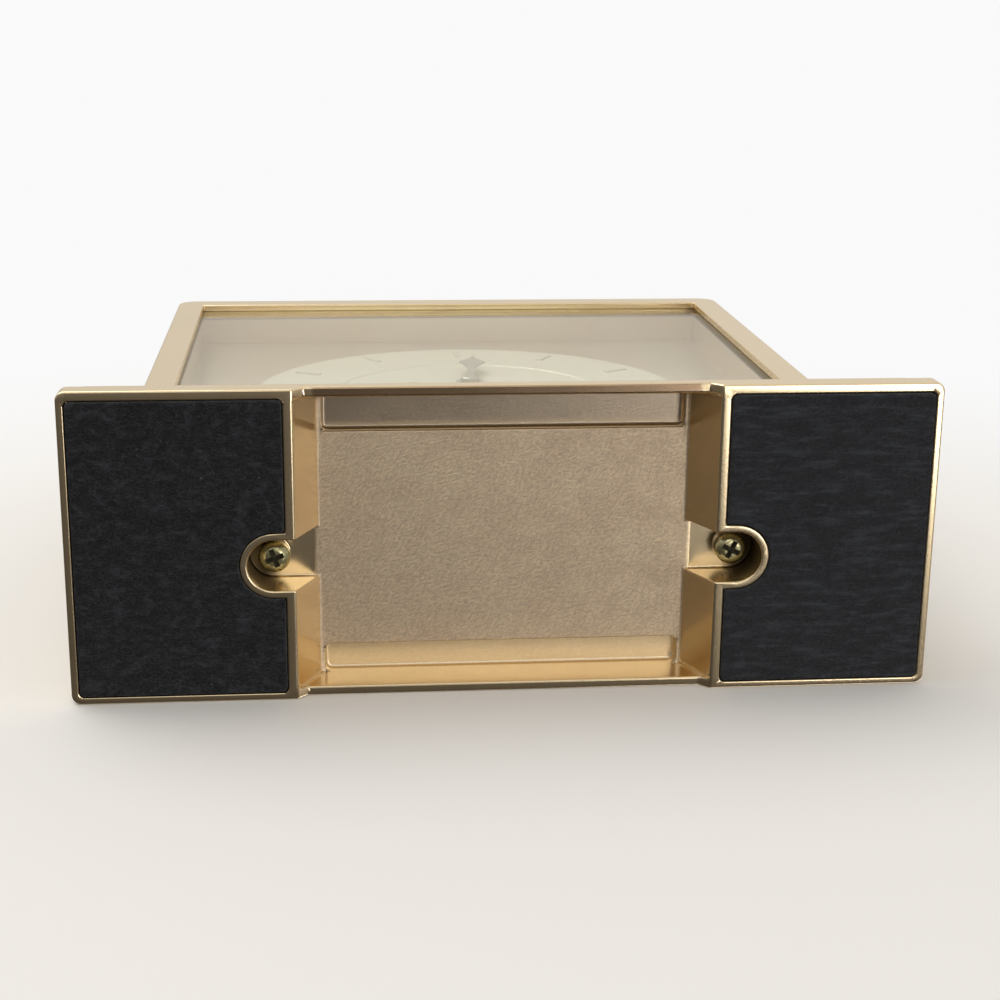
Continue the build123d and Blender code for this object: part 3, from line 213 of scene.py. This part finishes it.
class Finish:
    """A node material, built from a few kinds of node."""

    def __init__(self, name, tree=None):
        if tree is None:
            self.material = bpy.data.materials.new(name)
            self.material.use_nodes = True
            tree = self.material.node_tree
        self.tree = tree
        self.tree.nodes.clear()
        self.place = None

    def add(self, kind, inputs=None, output=0, **settings):
        """One node of a kind, with its settings made first and then its sockets' values or links."""
        node = self.tree.nodes.new("ShaderNode" + kind)
        for name, setting in settings.items():
            setattr(node, name, setting)
        for name, value in (inputs or {}).items():
            socket = node.inputs[name]
            if isinstance(value, Value):
                self.tree.links.new(value.socket, socket)
            elif socket.type == "RGBA" and len(value) == 3:
                socket.default_value = (*value, 1.0)
            else:
                socket.default_value = value
        return Value(self, node.outputs[output])

    def spot(self):
        """The place on the piece, in metres."""
        if self.place is None:
            self.place = self.add("TexCoord", output="Object")
        return self.place

    def split(self, vector):
        """The x, y and z of a vector."""
        node = self.add("SeparateXYZ", {0: vector}).socket.node
        return [Value(self, node.outputs[axis]) for axis in "XYZ"]

    def axes(self):
        """The place split into x, y and z, in millimetres."""
        return [axis * IN_MM for axis in self.split(self.spot())]

    def facing_down(self):
        """1 where the surface faces down, and 0 elsewhere."""
        return self.rise(self.split(self.add("TexCoord", output="Normal"))[2] * -1.0, 0.7, 0.2)

    def away(self, place):
        """The distance in millimetres from an upright line, mirrored to both sides of the part."""
        x, y, _ = self.axes()
        aside, along = x.sum("ABSOLUTE") - place[0], y - place[1]
        return (aside * aside + along * along).sum("SQRT")

    def noise(self, size, detail=3.0, roughness=0.55, stretch=None, curl=0.0, turn=0.0):
        """Noise from 0 to 1 with grains of a size in millimetres, turned, stretched or curled if asked."""
        place = self.spot()
        if turn:
            place = self.add("Mapping", {"Vector": place, "Rotation": (0.0, 0.0, math.radians(turn))})
        if stretch:
            place = self.add("Mapping", {"Vector": place, "Scale": stretch})
        return self.add("TexNoise", {"Vector": place, "Scale": IN_MM / size, "Detail": detail,
                                     "Roughness": roughness, "Distortion": curl})

    def threads(self, size, width, stretch=None, curl=1.5):
        """1 along thin curling lines, such as loose fibres, and 0 elsewhere."""
        field = self.noise(size, 2.0, 0.4, stretch, curl)
        return self.between((field - 0.5).sum("ABSOLUTE"), width, width * 0.3)

    def between(self, value, low, high):
        """A smooth step from 0 at low to 1 at high."""
        return self.add("MapRange", {"Value": value, "From Min": low, "From Max": high},
                        interpolation_type="SMOOTHSTEP")

    def rise(self, value, edge, width):
        """A smooth step from 0 below an edge to 1 above it."""
        return self.between(value, edge - width / 2, edge + width / 2)

    def fall(self, value, edge, width):
        """A smooth step from 1 below an edge to 0 above it."""
        return self.between(value, edge + width / 2, edge - width / 2)

    def mix(self, factor, first, second):
        """A colour between two colours."""
        node = self.tree.nodes.new("ShaderNodeMix")
        node.data_type = "RGBA"
        for socket, value in ((node.inputs[0], factor), (node.inputs[6], first), (node.inputs[7], second)):
            if isinstance(value, Value):
                self.tree.links.new(value.socket, socket)
            else:
                socket.default_value = value if isinstance(value, float) else (*value, 1.0)
        return Value(self, node.outputs[2])

    def bump(self, height, distance, strength=1.0, under=None):
        """A bump of a height in millimetres."""
        inputs = {"Height": height, "Distance": distance * MM, "Strength": strength}
        if under is not None:
            inputs["Normal"] = under
        return self.add("Bump", inputs)

    def surface(self, **sockets):
        """The closing shader: sockets are named as in the Principled shader, with _ for a space."""
        names = {name.replace("_", " "): value for name, value in sockets.items()}
        return self.add("BsdfPrincipled", names)

    def close(self, shader):
        """Links the shader to the output and gives the material."""
        output = self.tree.nodes.new("ShaderNodeOutputMaterial")
        self.tree.links.new(shader.socket, output.inputs[0])
        return self.material


def tinted(colour, share):
    """A colour made lighter or darker by a share."""
    return tuple(min(1.0, channel * share) for channel in colour)


def screw_place():
    """How far the base screws stand from the middle, across and along, in millimetres."""
    low, high = (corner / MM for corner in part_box("base_screws"))
    return high.x - SCREW_HEAD, (low.y + high.y) / 2


# Finishes

def cast_gold(name, colour, notch):
    """Satin gold on a casting: blasted on the floor of the underside, with painted glints in the grain,
    painted shade in the front pocket, below the front rim and in the screws' notches, and a painted shadow
    round the screw heads.
    """
    finish = Finish(name)
    x, y, z = finish.axes()
    side = x.sum("ABSOLUTE")
    down = finish.facing_down()
    floor = (finish.fall(side, CHANNEL_HALF, 0.8) * finish.rise(z, FLOOR_LEVEL, 0.6)
             * finish.fall(z, CHANNEL_TOP, 1.0) * down)
    pocket = finish.rise(z, POCKET_LEVEL, 0.8) * floor
    floor = floor - pocket * 0.62
    broad = finish.noise(14.0, 2.0)
    blotch = finish.between(finish.noise(6.5, 4.0, 0.6, (1.0, 1.3, 1.0)), 0.34, 0.66)
    grain = finish.noise(0.55, 3.0, 0.6)
    speck = finish.noise(0.28, 4.0, 0.66, (0.36, 1.25, 1.0), 0.15, GRAIN_TURN)
    tone = finish.mix(broad, tinted(colour, 0.96), tinted(colour, 1.03))
    # The blasted grain in the colour: partly the grain's own tone, partly painted glints in its pale specks
    grain_and_painted_glints = finish.mix(finish.between(speck, 0.36, 0.64), tinted(colour, 0.60), tinted(colour, 1.12))
    grain_and_painted_glints = finish.mix(0.5, grain_and_painted_glints, finish.mix(blotch, FLOOR_DARK, FLOOR_PALE))
    tone = finish.mix(floor * 0.9, tone, grain_and_painted_glints)
    # Painted shade: the front pocket is painted darker, as if in the shadow of the front wall
    tone = finish.mix(pocket * finish.fall(y, 0.0, 4.0) * 0.75, tone, POCKET_PAINTED_SHADE)
    # Painted shade and painted dark reflection: a band below the front rim is painted dark brown
    rim_painted_shade = (finish.rise(y, RIM_START, 0.2) * finish.fall(y, RIM_END, 1.0) * finish.rise(z, RIM_LEVEL, 0.8)
           * finish.fall(side, CHANNEL_HALF, 1.0) * down)
    tone = finish.mix(rim_painted_shade * 0.75, tone, RIM_PAINTED_SHADE)
    # Painted shade: the outer side of each screw's notch is painted dark
    away = finish.away(notch)
    outer = finish.rise(side, notch[0] + 0.2, 3.6) * finish.fall(z, POCKET_LEVEL, 0.8)
    recess = finish.fall(away, NOTCH_RADIUS, 0.3) * finish.rise(z, NOTCH_MOUTH, 1.6) * outer
    tone = finish.mix(recess * 0.72, tone, NOTCH_PAINTED_SHADE)
    # Painted shadow: a near-black ring on the notch floor round each screw head
    seat_painted_shade = finish.fall(away, NOTCH_RADIUS + 0.15, 1.3) * finish.rise(z, NOTCH_SEAT, 0.8) * outer
    tone = finish.mix(seat_painted_shade * 0.9, tone, SEAT_PAINTED_SHADOW)
    rough = 0.16 + broad * 0.05 + grain * 0.04 + floor * 0.24 + (1 - blotch) * floor * 0.08 + recess * 0.2
    skin = finish.bump(grain, 0.014, 0.3)
    skin = finish.bump(speck * floor, 0.12, 0.9, skin)
    return finish.close(finish.surface(Base_Color=tone, Metallic=1.0, Roughness=rough, Normal=skin))


def black_felt(name, colour):
    """Pressed wool felt: matted fibres, paler loose threads and a few flecks of lint."""
    finish = Finish(name)
    matted = finish.noise(0.42, 6.0, 0.72, curl=0.8)
    x = finish.axes()[0]
    tufts = finish.noise(2.6, 5.0, 0.68, (1.0, 1.5, 1.0), 0.6)
    streaks = finish.noise(1.25, 4.0, 0.68, (0.17, 1.0, 1.0), 0.3)
    nap = finish.rise(x, 0.0, NAP_WIDTH)
    tufts = tufts * (1 - nap * 0.75) + streaks * nap * 0.75
    cloud = finish.noise(11.0, 3.0)
    threads = finish.threads(1.5, 0.02) + finish.threads(0.9, 0.03, (0.35, 1.0, 1.0))
    lint = finish.between(finish.noise(1.3, 3.0, 0.6), 0.70, 0.74)
    tone = finish.mix(cloud, tinted(colour, 0.55), tinted(colour, 1.9))
    tone = finish.mix(finish.between(matted, 0.35, 0.72), tinted(colour, 0.45), tone)
    tone = finish.mix(finish.between(tufts, 0.46, 0.70) * (nap * 0.5 + 0.45), tone, tinted(colour, 3.8))
    tone = finish.mix(nap * 0.25, tone, tinted(colour, 3.0))
    tone = finish.mix((threads * matted).sum("MINIMUM", 1.0) * 0.34, tone, tinted(colour, 6.0))
    tone = finish.mix(lint * 0.6, tone, LINT)
    fibres = finish.bump(matted + tufts * 0.9 + threads * 0.25, 0.20, 0.85)
    return finish.close(finish.surface(Base_Color=tone, Roughness=0.97, Normal=fibres, Sheen_Weight=0.22,
                                       Sheen_Roughness=0.5, Specular_IOR_Level=0.2))


def plated_screw(name, colour, rough=0.2, recess=None):
    """Bright plating with fine turning marks and slight tarnish, and painted shade down in the cross recess
    and below the cross's bottom.
    """
    finish = Finish(name)
    tarnish = finish.between(finish.noise(1.1, 3.0), 0.42, 0.62)
    tone = finish.mix(tarnish, colour, tinted(colour, 0.62))
    metal = 1.0
    if recess:
        place, top, reach = recess
        away, depth = finish.away(place), finish.axes()[2] - top
        # Painted shade: the cross recess is painted near black and not metallic, and the head is painted
        # dark deeper than the cross's bottom
        recess_painted_shade = (finish.rise(depth - away * away * SCREW_CROWN, CROSS_START, 0.11)
                * finish.fall(away, reach, 0.2))
        tone = finish.mix(recess_painted_shade * 0.94, tone, tinted(colour, 0.08))
        seat_painted_shade = finish.rise(depth, CROSS_BOTTOM, 0.55)
        tone = finish.mix(seat_painted_shade * 0.9, tone, tinted(colour, 0.10))
        rough, metal = rough + recess_painted_shade * 0.6, 1 - recess_painted_shade
    marks = finish.noise(0.16, 2.0)
    return finish.close(finish.surface(Base_Color=tone, Metallic=metal, Roughness=rough + tarnish * 0.14,
                                       Normal=finish.bump(marks, 0.012, 0.4)))


def clear_glass(name):
    """A thin clear pane: it mirrors more at a shallow angle and lets the rest straight through."""
    finish = Finish(name)
    smear = finish.noise(22.0, 3.0, 0.5, (1.0, 1.0, 0.4))
    mirror = finish.add("BsdfGlossy", {"Color": WHITE, "Roughness": 0.03})
    through = finish.add("BsdfTransparent", {"Color": (0.965, 0.97, 0.95)})
    shallow = finish.add("LayerWeight", {"Blend": 0.5}, output="Facing").sum("POWER", 5.0)
    outer = 1 - finish.add("NewGeometry", output="Backfacing")
    share = (shallow * 0.92 + 0.05) * (smear * 0.3 + 0.85) * outer
    return finish.close(finish.add("MixShader", {0: share, 1: through, 2: mirror}))


def brushed_panel(name, colour, metallic=0.75, rough=0.32, stretch=(1.0, 1.0, 0.03)):
    """A lacquered panel with a fine vertical brushing."""
    finish = Finish(name)
    lines = finish.noise(0.35, 3.0, 0.6, stretch)
    cloud = finish.noise(30.0, 2.0)
    tone = finish.mix(lines, tinted(colour, 0.93), tinted(colour, 1.05))
    tone = finish.mix(cloud * 0.3, tone, tinted(colour, 0.95))
    return finish.close(finish.surface(Base_Color=tone, Metallic=metallic, Roughness=rough + lines * 0.1,
                                       Normal=finish.bump(lines, 0.01, 0.3), Coat_Weight=0.3,
                                       Coat_Roughness=0.12))


def moulded_plastic(name, colour, rough=0.42, grain=0.35, depth=0.02):
    """Moulded plastic with a spark-eroded grain."""
    finish = Finish(name)
    skin = finish.noise(grain, 3.0, 0.6)
    cloud = finish.noise(9.0, 2.0)
    tone = finish.mix(cloud, tinted(colour, 0.92), tinted(colour, 1.08))
    return finish.close(finish.surface(Base_Color=tone, Roughness=rough + skin * 0.12,
                                       Normal=finish.bump(skin, depth, 0.6)))


def plain_metal(name, colour, rough=0.28, size=0.3, depth=0.008):
    """Rolled or turned metal with a fine surface."""
    finish = Finish(name)
    skin = finish.noise(size, 3.0, 0.6)
    cloud = finish.noise(3.5, 2.0)
    tone = finish.mix(cloud, tinted(colour, 0.9), tinted(colour, 1.04))
    return finish.close(finish.surface(Base_Color=tone, Metallic=1.0, Roughness=rough + skin * 0.1,
                                       Normal=finish.bump(skin, depth, 0.5)))


def wound_copper(name, colour):
    """Fine enamelled wire, wound along x."""
    finish = Finish(name)
    x = finish.axes()[0]
    turns = (x * (2 * math.pi / 0.16)).sum("SINE")
    tone = finish.mix(turns * 0.5 + 0.5, tinted(colour, 0.55), colour)
    return finish.close(finish.surface(Base_Color=tone, Metallic=0.9, Roughness=0.3,
                                       Normal=finish.bump(turns, 0.04, 0.8)))


def circuit_green(name, colour):
    """A lacquered board with traces that show as paler lines."""
    finish = Finish(name)
    x, _, z = finish.axes()
    rows = finish.between((z * (2 * math.pi / 2.2)).sum("SINE"), 0.55, 0.75)
    columns = finish.between((x * (2 * math.pi / 3.1)).sum("SINE"), 0.6, 0.8)
    patch = finish.between(finish.noise(5.0, 1.0), 0.48, 0.52)
    trace = rows * patch + columns * (1 - patch)
    tone = finish.mix(trace, colour, tinted(colour, 1.9))
    return finish.close(finish.surface(Base_Color=tone, Roughness=0.35, Coat_Weight=0.5,
                                       Normal=finish.bump(trace, 0.03, 0.6)))


def battery_sleeve(name, colour, end_colour, left, right):
    """A lacquered sleeve with a band of another colour at its button end, and bare steel ends."""
    finish = Finish(name)
    x = finish.axes()[0]
    band = finish.rise(x, right - BAND_LENGTH, 0.4)
    steel = finish.rise(x, right - 0.75, 0.3) + finish.fall(x, left + 0.35, 0.3)
    wear = finish.noise(2.5, 3.0)
    tone = finish.mix(band, colour, end_colour)
    tone = finish.mix(steel, tone, BARE_STEEL)
    return finish.close(finish.surface(Base_Color=tone, Metallic=steel * 0.9 + band * 0.5,
                                       Roughness=0.22 + wear * 0.1, Coat_Weight=0.4))


# Making pieces

def deselect():
    """Leaves object mode and deselects all."""
    if bpy.context.object and bpy.context.object.mode != "OBJECT":
        bpy.ops.object.mode_set(mode="OBJECT")
    bpy.ops.object.select_all(action="DESELECT")


def select_only(piece):
    """Selects one piece and makes it active."""
    deselect()
    piece.select_set(True)
    bpy.context.view_layer.objects.active = piece


def copy_of(node):
    """A merged copy of a CAD node's mesh, selected and active."""
    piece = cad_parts[node].copy()
    piece.data = piece.data.copy()
    for key in list(piece.keys()):
        del piece[key]
    bpy.context.scene.collection.objects.link(piece)
    piece.parent = None
    select_only(piece)
    bpy.ops.object.mode_set(mode="EDIT")
    bpy.ops.mesh.select_all(action="SELECT")
    bpy.ops.mesh.remove_doubles(threshold=MERGE)
    bpy.ops.mesh.normals_make_consistent(inside=False)
    bpy.ops.object.mode_set(mode="OBJECT")
    return piece


def softened(node, radius):
    """A copy of a CAD node with its sharp edges rounded to a small radius."""
    piece = copy_of(node)
    bpy.ops.object.mode_set(mode="EDIT")
    bpy.ops.mesh.tris_convert_to_quads(face_threshold=math.radians(FLAT_ANGLE), shape_threshold=math.pi)
    bpy.ops.object.mode_set(mode="OBJECT")
    bevel = piece.modifiers.new("edges", "BEVEL")
    bevel.width, bevel.segments = radius, EDGE_SEGMENTS
    bevel.limit_method, bevel.angle_limit = "ANGLE", math.radians(SHARP_ANGLE)
    bevel.use_clamp_overlap = False
    bpy.ops.object.modifier_apply(modifier="edges")
    even_shading(piece)
    return piece


def even_shading(piece):
    """Smooth shading that keeps the flats flat and lets only the rounded edges turn."""
    bpy.ops.object.shade_smooth_by_angle(angle=math.radians(SHADE_ANGLE))
    flats = piece.modifiers.new("flats", "WEIGHTED_NORMAL")
    flats.keep_sharp, flats.weight = True, 100
    bpy.ops.object.modifier_apply(modifier="flats")


def dress(piece, material):
    """One material on the whole piece."""
    piece.data.materials.clear()
    piece.data.materials.append(material)


def hand_over(piece, name, body, material, replaced=()):
    """Names a finished piece, dresses it and lets it ride on its body."""
    piece.name = piece.data.name = name
    dress(piece, material)
    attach(piece, body)
    if replaced:
        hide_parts(*replaced)


def dress_nodes(material, *nodes):
    """A better material for CAD nodes that stay."""
    for node in nodes:
        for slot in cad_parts[node].material_slots:
            slot.material = material


class CLOCK_OT_castings(bpy.types.Operator):
    """Satin gold on the base and the case"""
    bl_idname = "desk_clock.castings"
    bl_label = "Castings"

    def execute(self, context):
        sizes, colours = context.scene.clock_sizes, context.scene.clock_colours
        gold = cast_gold("satin_gold", colours.gold, screw_place())
        for node, name in (("base_casting", "plinth_casting"), ("front_frame", "case_casting")):
            hand_over(softened(node, sizes.cast_edge), name, "case", gold, (node,))
        return {"FINISHED"}


class CLOCK_OT_felt_pads(bpy.types.Operator):
    """Felt pads with a worn, fibrous surface in the two feet"""
    bl_idname = "desk_clock.felt_pads"
    bl_label = "Felt pads"

    def execute(self, context):
        sizes, colours = context.scene.clock_sizes, context.scene.clock_colours
        material = black_felt("black_felt", colours.felt)
        fuzz = bpy.data.textures.new("felt_fuzz", "CLOUDS")
        fuzz.noise_scale, fuzz.noise_depth = FUZZ_GRAIN * MM, 2
        for side in ("left", "right"):
            pad = copy_of("felt_pad_" + side)
            remesh = pad.modifiers.new("cells", "REMESH")
            remesh.mode, remesh.voxel_size = "VOXEL", sizes.felt_cell
            remesh.use_smooth_shade = True
            bpy.ops.object.modifier_apply(modifier="cells")
            soften = pad.modifiers.new("soften", "SMOOTH")
            soften.factor, soften.iterations = 0.5, 3
            bpy.ops.object.modifier_apply(modifier="soften")
            uneven = pad.modifiers.new("uneven", "DISPLACE")
            uneven.texture, uneven.strength, uneven.mid_level = fuzz, sizes.felt_fuzz, FUZZ_TOP
            bpy.ops.object.modifier_apply(modifier="uneven")
            hand_over(pad, "felt_" + side, "case", material, ("felt_pad_" + side,))
        return {"FINISHED"}


class CLOCK_OT_screws(bpy.types.Operator):
    """Yellow plating on the base screws and dark plating on the cover screws"""
    bl_idname = "desk_clock.screws"
    bl_label = "Screws"

    def execute(self, context):
        # Where the base screws' cross recesses lie, for the painted shade in them
        recess = (screw_place(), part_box("base_screws")[0].z / MM, SCREW_CROSS)
        dress_nodes(plated_screw("yellow_zinc", (0.66, 0.62, 0.36), 0.22, recess), "base_screws")
        dress_nodes(plated_screw("dark_zinc", (0.20, 0.20, 0.21), 0.3), "cover_screws")
        return {"FINISHED"}


class CLOCK_OT_front(bpy.types.Operator):
    """Glass and the frames that hold it"""
    bl_idname = "desk_clock.front"
    bl_label = "Glass and spacers"

    def execute(self, context):
        colours = context.scene.clock_colours
        dress_nodes(clear_glass("clear_glass"), "glass")
        dress_nodes(brushed_panel("champagne_spacer", colours.dial, 0.8, 0.3, (1.0, 0.05, 1.0)),
                    "front_spacer")
        dress_nodes(moulded_plastic("black_spacer", (0.02, 0.02, 0.02)), "rear_spacer")
        return {"FINISHED"}


class CLOCK_OT_dial(bpy.types.Operator):
    """Champagne dial plate with its pale ring and batons"""
    bl_idname = "desk_clock.dial"
    bl_label = "Dial"

    def execute(self, context):
        colours = context.scene.clock_colours
        dress_nodes(brushed_panel("champagne_dial", colours.dial), "dial_plate")
        dress_nodes(brushed_panel("pale_dial", colours.ring, 0.25, 0.4, (1.0, 1.0, 1.0)),
                    "dial_disc", "chapter_ring")
        dress_nodes(brushed_panel("pale_baton", tinted(colours.ring, 0.95), 0.3, 0.4, (1.0, 1.0, 1.0)),
                    "hour_markers")
        return {"FINISHED"}


class CLOCK_OT_hands(bpy.types.Operator):
    """Grey spade hands with softly bevelled edges"""
    bl_idname = "desk_clock.hands"
    bl_label = "Hands"

    def execute(self, context):
        sizes, colours = context.scene.clock_sizes, context.scene.clock_colours
        material = plain_metal("grey_hands", colours.hands, 0.34)
        for body in ("hour", "minute"):
            hand = softened(body + "_hand", sizes.hand_crown)
            hand_over(hand, body + "_spade", body, material, (body + "_hand",))
        dress_nodes(material, "minute_cap", "dial_nut")
        dress_nodes(plain_metal("turned_brass", (0.78, 0.58, 0.27), 0.2), "centre_bush", "minute_arbor",
                    "clutch_washer")
        return {"FINISHED"}


class CLOCK_OT_rear(bpy.types.Operator):
    """Grained black plastic on the rear cover, the battery door and the knob"""
    bl_idname = "desk_clock.rear"
    bl_label = "Rear cover"

    def execute(self, context):
        sizes = context.scene.clock_sizes
        grained = moulded_plastic("grained_black", (0.030, 0.029, 0.028), 0.46, 0.45, 0.05)
        smooth = moulded_plastic("smooth_black", (0.025, 0.024, 0.023), 0.3, 0.5, 0.01)
        for node, name, body, material in (("rear_cover", "rear_panel", "case", grained),
                                           ("battery_door", "door_panel", "battery_door", grained),
                                           ("setting_knob", "knurled_knob", "setting", smooth)):
            hand_over(softened(node, sizes.moulded_edge), name, body, material, (node,))
        self.grip(sizes, smooth)
        return {"FINISHED"}

    def grip(self, sizes, material):
        """Low ribs for a fingertip on the battery door, modelled once and copied down the door."""
        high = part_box("battery_door")[1]
        deselect()
        bpy.ops.mesh.primitive_cylinder_add(vertices=RIB_SIDES, radius=RIB_HEIGHT, depth=RIB_LENGTH,
                                            location=(0.0, high.y, high.z - RIB_DROP),
                                            rotation=(0.0, math.pi / 2, 0.0))
        rib = bpy.context.object
        rib.scale = (RIB_SPREAD, 1.0, 1.0)
        bpy.ops.object.transform_apply(location=True, rotation=True, scale=True)
        ends = rib.modifiers.new("ends", "BEVEL")
        ends.width, ends.segments = RIB_HEIGHT * 0.7, EDGE_SEGMENTS
        ends.limit_method, ends.angle_limit = "ANGLE", math.radians(50.0)
        bpy.ops.object.modifier_apply(modifier="ends")
        row = rib.modifiers.new("row", "ARRAY")
        row.count = sizes.grip_ribs
        row.use_relative_offset, row.use_constant_offset = False, True
        row.constant_offset_displace = (0.0, 0.0, -RIB_PITCH)
        bpy.ops.object.modifier_apply(modifier="row")
        bpy.ops.object.shade_smooth_by_angle(angle=math.radians(SHADE_ANGLE))
        hand_over(rib, "door_ribs", "battery_door", material)


class CLOCK_OT_movement(bpy.types.Operator):
    """Finishes of the quartz movement, its train, motor and circuit"""
    bl_idname = "desk_clock.movement"
    bl_label = "Movement"

    def execute(self, context):
        dress_nodes(moulded_plastic("movement_black", (0.03, 0.03, 0.032), 0.4, 0.3), "movement_front_case",
                    "movement_rear_case", "middle_plate")
        dress_nodes(moulded_plastic("white_wheels", (0.80, 0.79, 0.74), 0.35, 0.4, 0.008), "hour_wheel",
                    "centre_wheel", "minute_wheel", "third_wheel", "seconds_wheel", "intermediate_wheel",
                    "rotor_pinion", "setting_arbor", "coil_bobbin")
        dress_nodes(moulded_plastic("washer_rubber", (0.03, 0.03, 0.03), 0.7, 0.6, 0.03), "dial_washer")
        dress_nodes(plain_metal("sintered_magnet", (0.28, 0.28, 0.30), 0.45, 0.2, 0.03), "rotor_magnet")
        dress_nodes(plain_metal("soft_iron", (0.60, 0.60, 0.61), 0.3), "stator", "coil_core")
        dress_nodes(wound_copper("copper_winding", (0.78, 0.34, 0.17)), "coil_winding")
        dress_nodes(circuit_green("circuit_green", (0.02, 0.16, 0.06)), "circuit_board")
        dress_nodes(moulded_plastic("black_resin", (0.012, 0.012, 0.012), 0.16, 1.4, 0.03), "circuit_chip")
        dress_nodes(plain_metal("steel_can", (0.72, 0.72, 0.71), 0.16), "quartz_crystal")
        return {"FINISHED"}


class CLOCK_OT_battery(bpy.types.Operator):
    """Battery sleeve and its plated contacts"""
    bl_idname = "desk_clock.battery"
    bl_label = "Battery"

    def execute(self, context):
        low, high = (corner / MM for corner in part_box("battery"))
        dress_nodes(battery_sleeve("battery_sleeve", (0.015, 0.018, 0.025), (0.60, 0.36, 0.16), low[0],
                                   high[0]), "battery")
        dress_nodes(plain_metal("contact_plating", (0.75, 0.74, 0.70), 0.2), "positive_contact",
                    "negative_contact")
        return {"FINISHED"}


# Stage

def seen_from_front(name, colour):
    """Pale paint that only the camera sees, and only from the front, so that lamps reach all sides."""
    finish = Finish(name)
    cloud = finish.noise(400.0, 1.0)
    paint = finish.surface(Base_Color=finish.mix(cloud, tinted(colour, 0.985), tinted(colour, 1.0)),
                           Roughness=0.9, Specular_IOR_Level=0.0)
    clear = finish.add("BsdfTransparent")
    away = finish.add("VectorMath", {0: finish.spot()}, output="Value", operation="LENGTH")
    white = finish.add("Emission", {"Color": WHITE, "Strength": STAGE_WHITE})
    paint = finish.add("MixShader", {0: finish.between(away, FADE_NEAR, FADE_FAR), 1: paint, 2: white})
    camera = finish.add("LightPath", output="Is Camera Ray")
    behind = finish.add("NewGeometry", output="Backfacing")
    return finish.close(finish.add("MixShader", {0: camera * (1 - behind), 1: clear, 2: paint}))


def sheet_of_stage(name, place, turn, material):
    """A wide flat sheet that the camera sees and that throws no light or shade."""
    deselect()
    bpy.ops.mesh.primitive_plane_add(size=STAGE_SIZE, location=place, rotation=turn)
    sheet = bpy.context.object
    bpy.ops.object.transform_apply(location=True, rotation=True, scale=True)
    sheet.name = name
    dress(sheet, material)
    sheet.visible_shadow = sheet.visible_diffuse = sheet.visible_glossy = sheet.visible_transmission = False


def lamp(name, place, size, power):
    """A round soft lamp that is turned towards the clock."""
    light = bpy.data.lights.new(name, "AREA")
    light.shape, light.size, light.energy = "DISK", size, power
    light.color = LAMP_COLOUR
    holder = bpy.data.objects.new(name, light)
    bpy.context.scene.collection.objects.link(holder)
    holder.location = place
    holder.rotation_euler = (Vector(AIM) - Vector(place)).to_track_quat("-Z", "Y").to_euler()


def pale_world():
    """A soft world, brighter above and in front, and white where the camera sees it."""
    world = bpy.data.worlds.new("pale_world")
    world.use_nodes = True
    sky = Finish("pale_world", world.node_tree)
    right, forward, up = sky.split(sky.add("TexCoord", output="Generated"))
    bright = sky.between(up * 0.4 - forward * 1.1 + right * 0.36, -0.9, 0.95) * 0.70 + 0.07
    camera = sky.add("LightPath", output="Is Camera Ray")
    strength = bright * (1 - camera) + camera * STAGE_WHITE
    warm = sky.between(forward, -0.1, 0.9) * (1 - camera)
    colour = sky.mix(camera, sky.mix(warm, WORLD_COOL, WORLD_WARM), WHITE)
    shader = sky.add("Background", {"Color": colour, "Strength": strength})
    output = world.node_tree.nodes.new("ShaderNodeOutputWorld")
    world.node_tree.links.new(shader.socket, output.inputs[0])
    return world


class CLOCK_OT_stage(bpy.types.Operator):
    """Pale floor and backdrop, soft lamps, a pale world and the camera below the base"""
    bl_idname = "desk_clock.stage"
    bl_label = "Stage"

    def execute(self, context):
        levels, colours = context.scene.clock_stage, context.scene.clock_colours
        pale = seen_from_front("pale_floor", colours.floor)
        sheet_of_stage("floor", (0, 0, 0), (0, 0, 0), pale)
        sheet_of_stage("backdrop", (0, CAD_HIGH.y + 0.1 * MM, 1.0), (math.pi / 2, 0, 0), pale)
        for name, (place, size) in LAMPS.items():
            lamp(name, place, size, getattr(levels, name))
        context.scene.world = pale_world()

        data = bpy.data.cameras.new("camera")
        data.lens, data.sensor_width, data.clip_start = levels.lens, SENSOR, 0.01
        camera = bpy.data.objects.new("camera", data)
        context.scene.collection.objects.link(camera)
        camera.location = CAMERA_PLACE
        camera.rotation_euler = Euler([math.radians(turn) for turn in CAMERA_TURN], "XYZ")
        context.scene.camera = camera
        context.scene.view_settings.view_transform = "Standard"
        return {"FINISHED"}


class CLOCK_PT_panel(bpy.types.Panel):
    """Lists the clock's steps in the sidebar"""
    bl_idname = "CLOCK_PT_panel"
    bl_label = "Desk Clock"
    bl_space_type = "VIEW_3D"
    bl_region_type = "UI"
    bl_category = "Desk Clock"

    def draw(self, context):
        for operator in OPERATORS:
            self.layout.operator(operator.bl_idname)
        for group in (context.scene.clock_sizes, context.scene.clock_colours, context.scene.clock_stage):
            for name in group.__annotations__:
                self.layout.prop(group, name)


OPERATORS = (CLOCK_OT_castings, CLOCK_OT_felt_pads, CLOCK_OT_screws, CLOCK_OT_front, CLOCK_OT_dial,
             CLOCK_OT_hands, CLOCK_OT_rear, CLOCK_OT_movement, CLOCK_OT_battery, CLOCK_OT_stage)
GROUPS = {"clock_sizes": ClockSizes, "clock_colours": ClockColours, "clock_stage": StageLevels}


def register():
    for group in GROUPS.values():
        bpy.utils.register_class(group)
    for name, group in GROUPS.items():
        setattr(bpy.types.Scene, name, PointerProperty(type=group))
    for operator in OPERATORS + (CLOCK_PT_panel,):
        bpy.utils.register_class(operator)


def unregister():
    for operator in OPERATORS + (CLOCK_PT_panel,):
        bpy.utils.unregister_class(operator)
    for name, group in GROUPS.items():
        delattr(bpy.types.Scene, name)
        bpy.utils.unregister_class(group)


def main():
    """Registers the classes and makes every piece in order."""
    register()
    for operator in OPERATORS:
        module, name = operator.bl_idname.split(".")
        getattr(getattr(bpy.ops, module), name)()


if __name__ == "__main__":
    main()
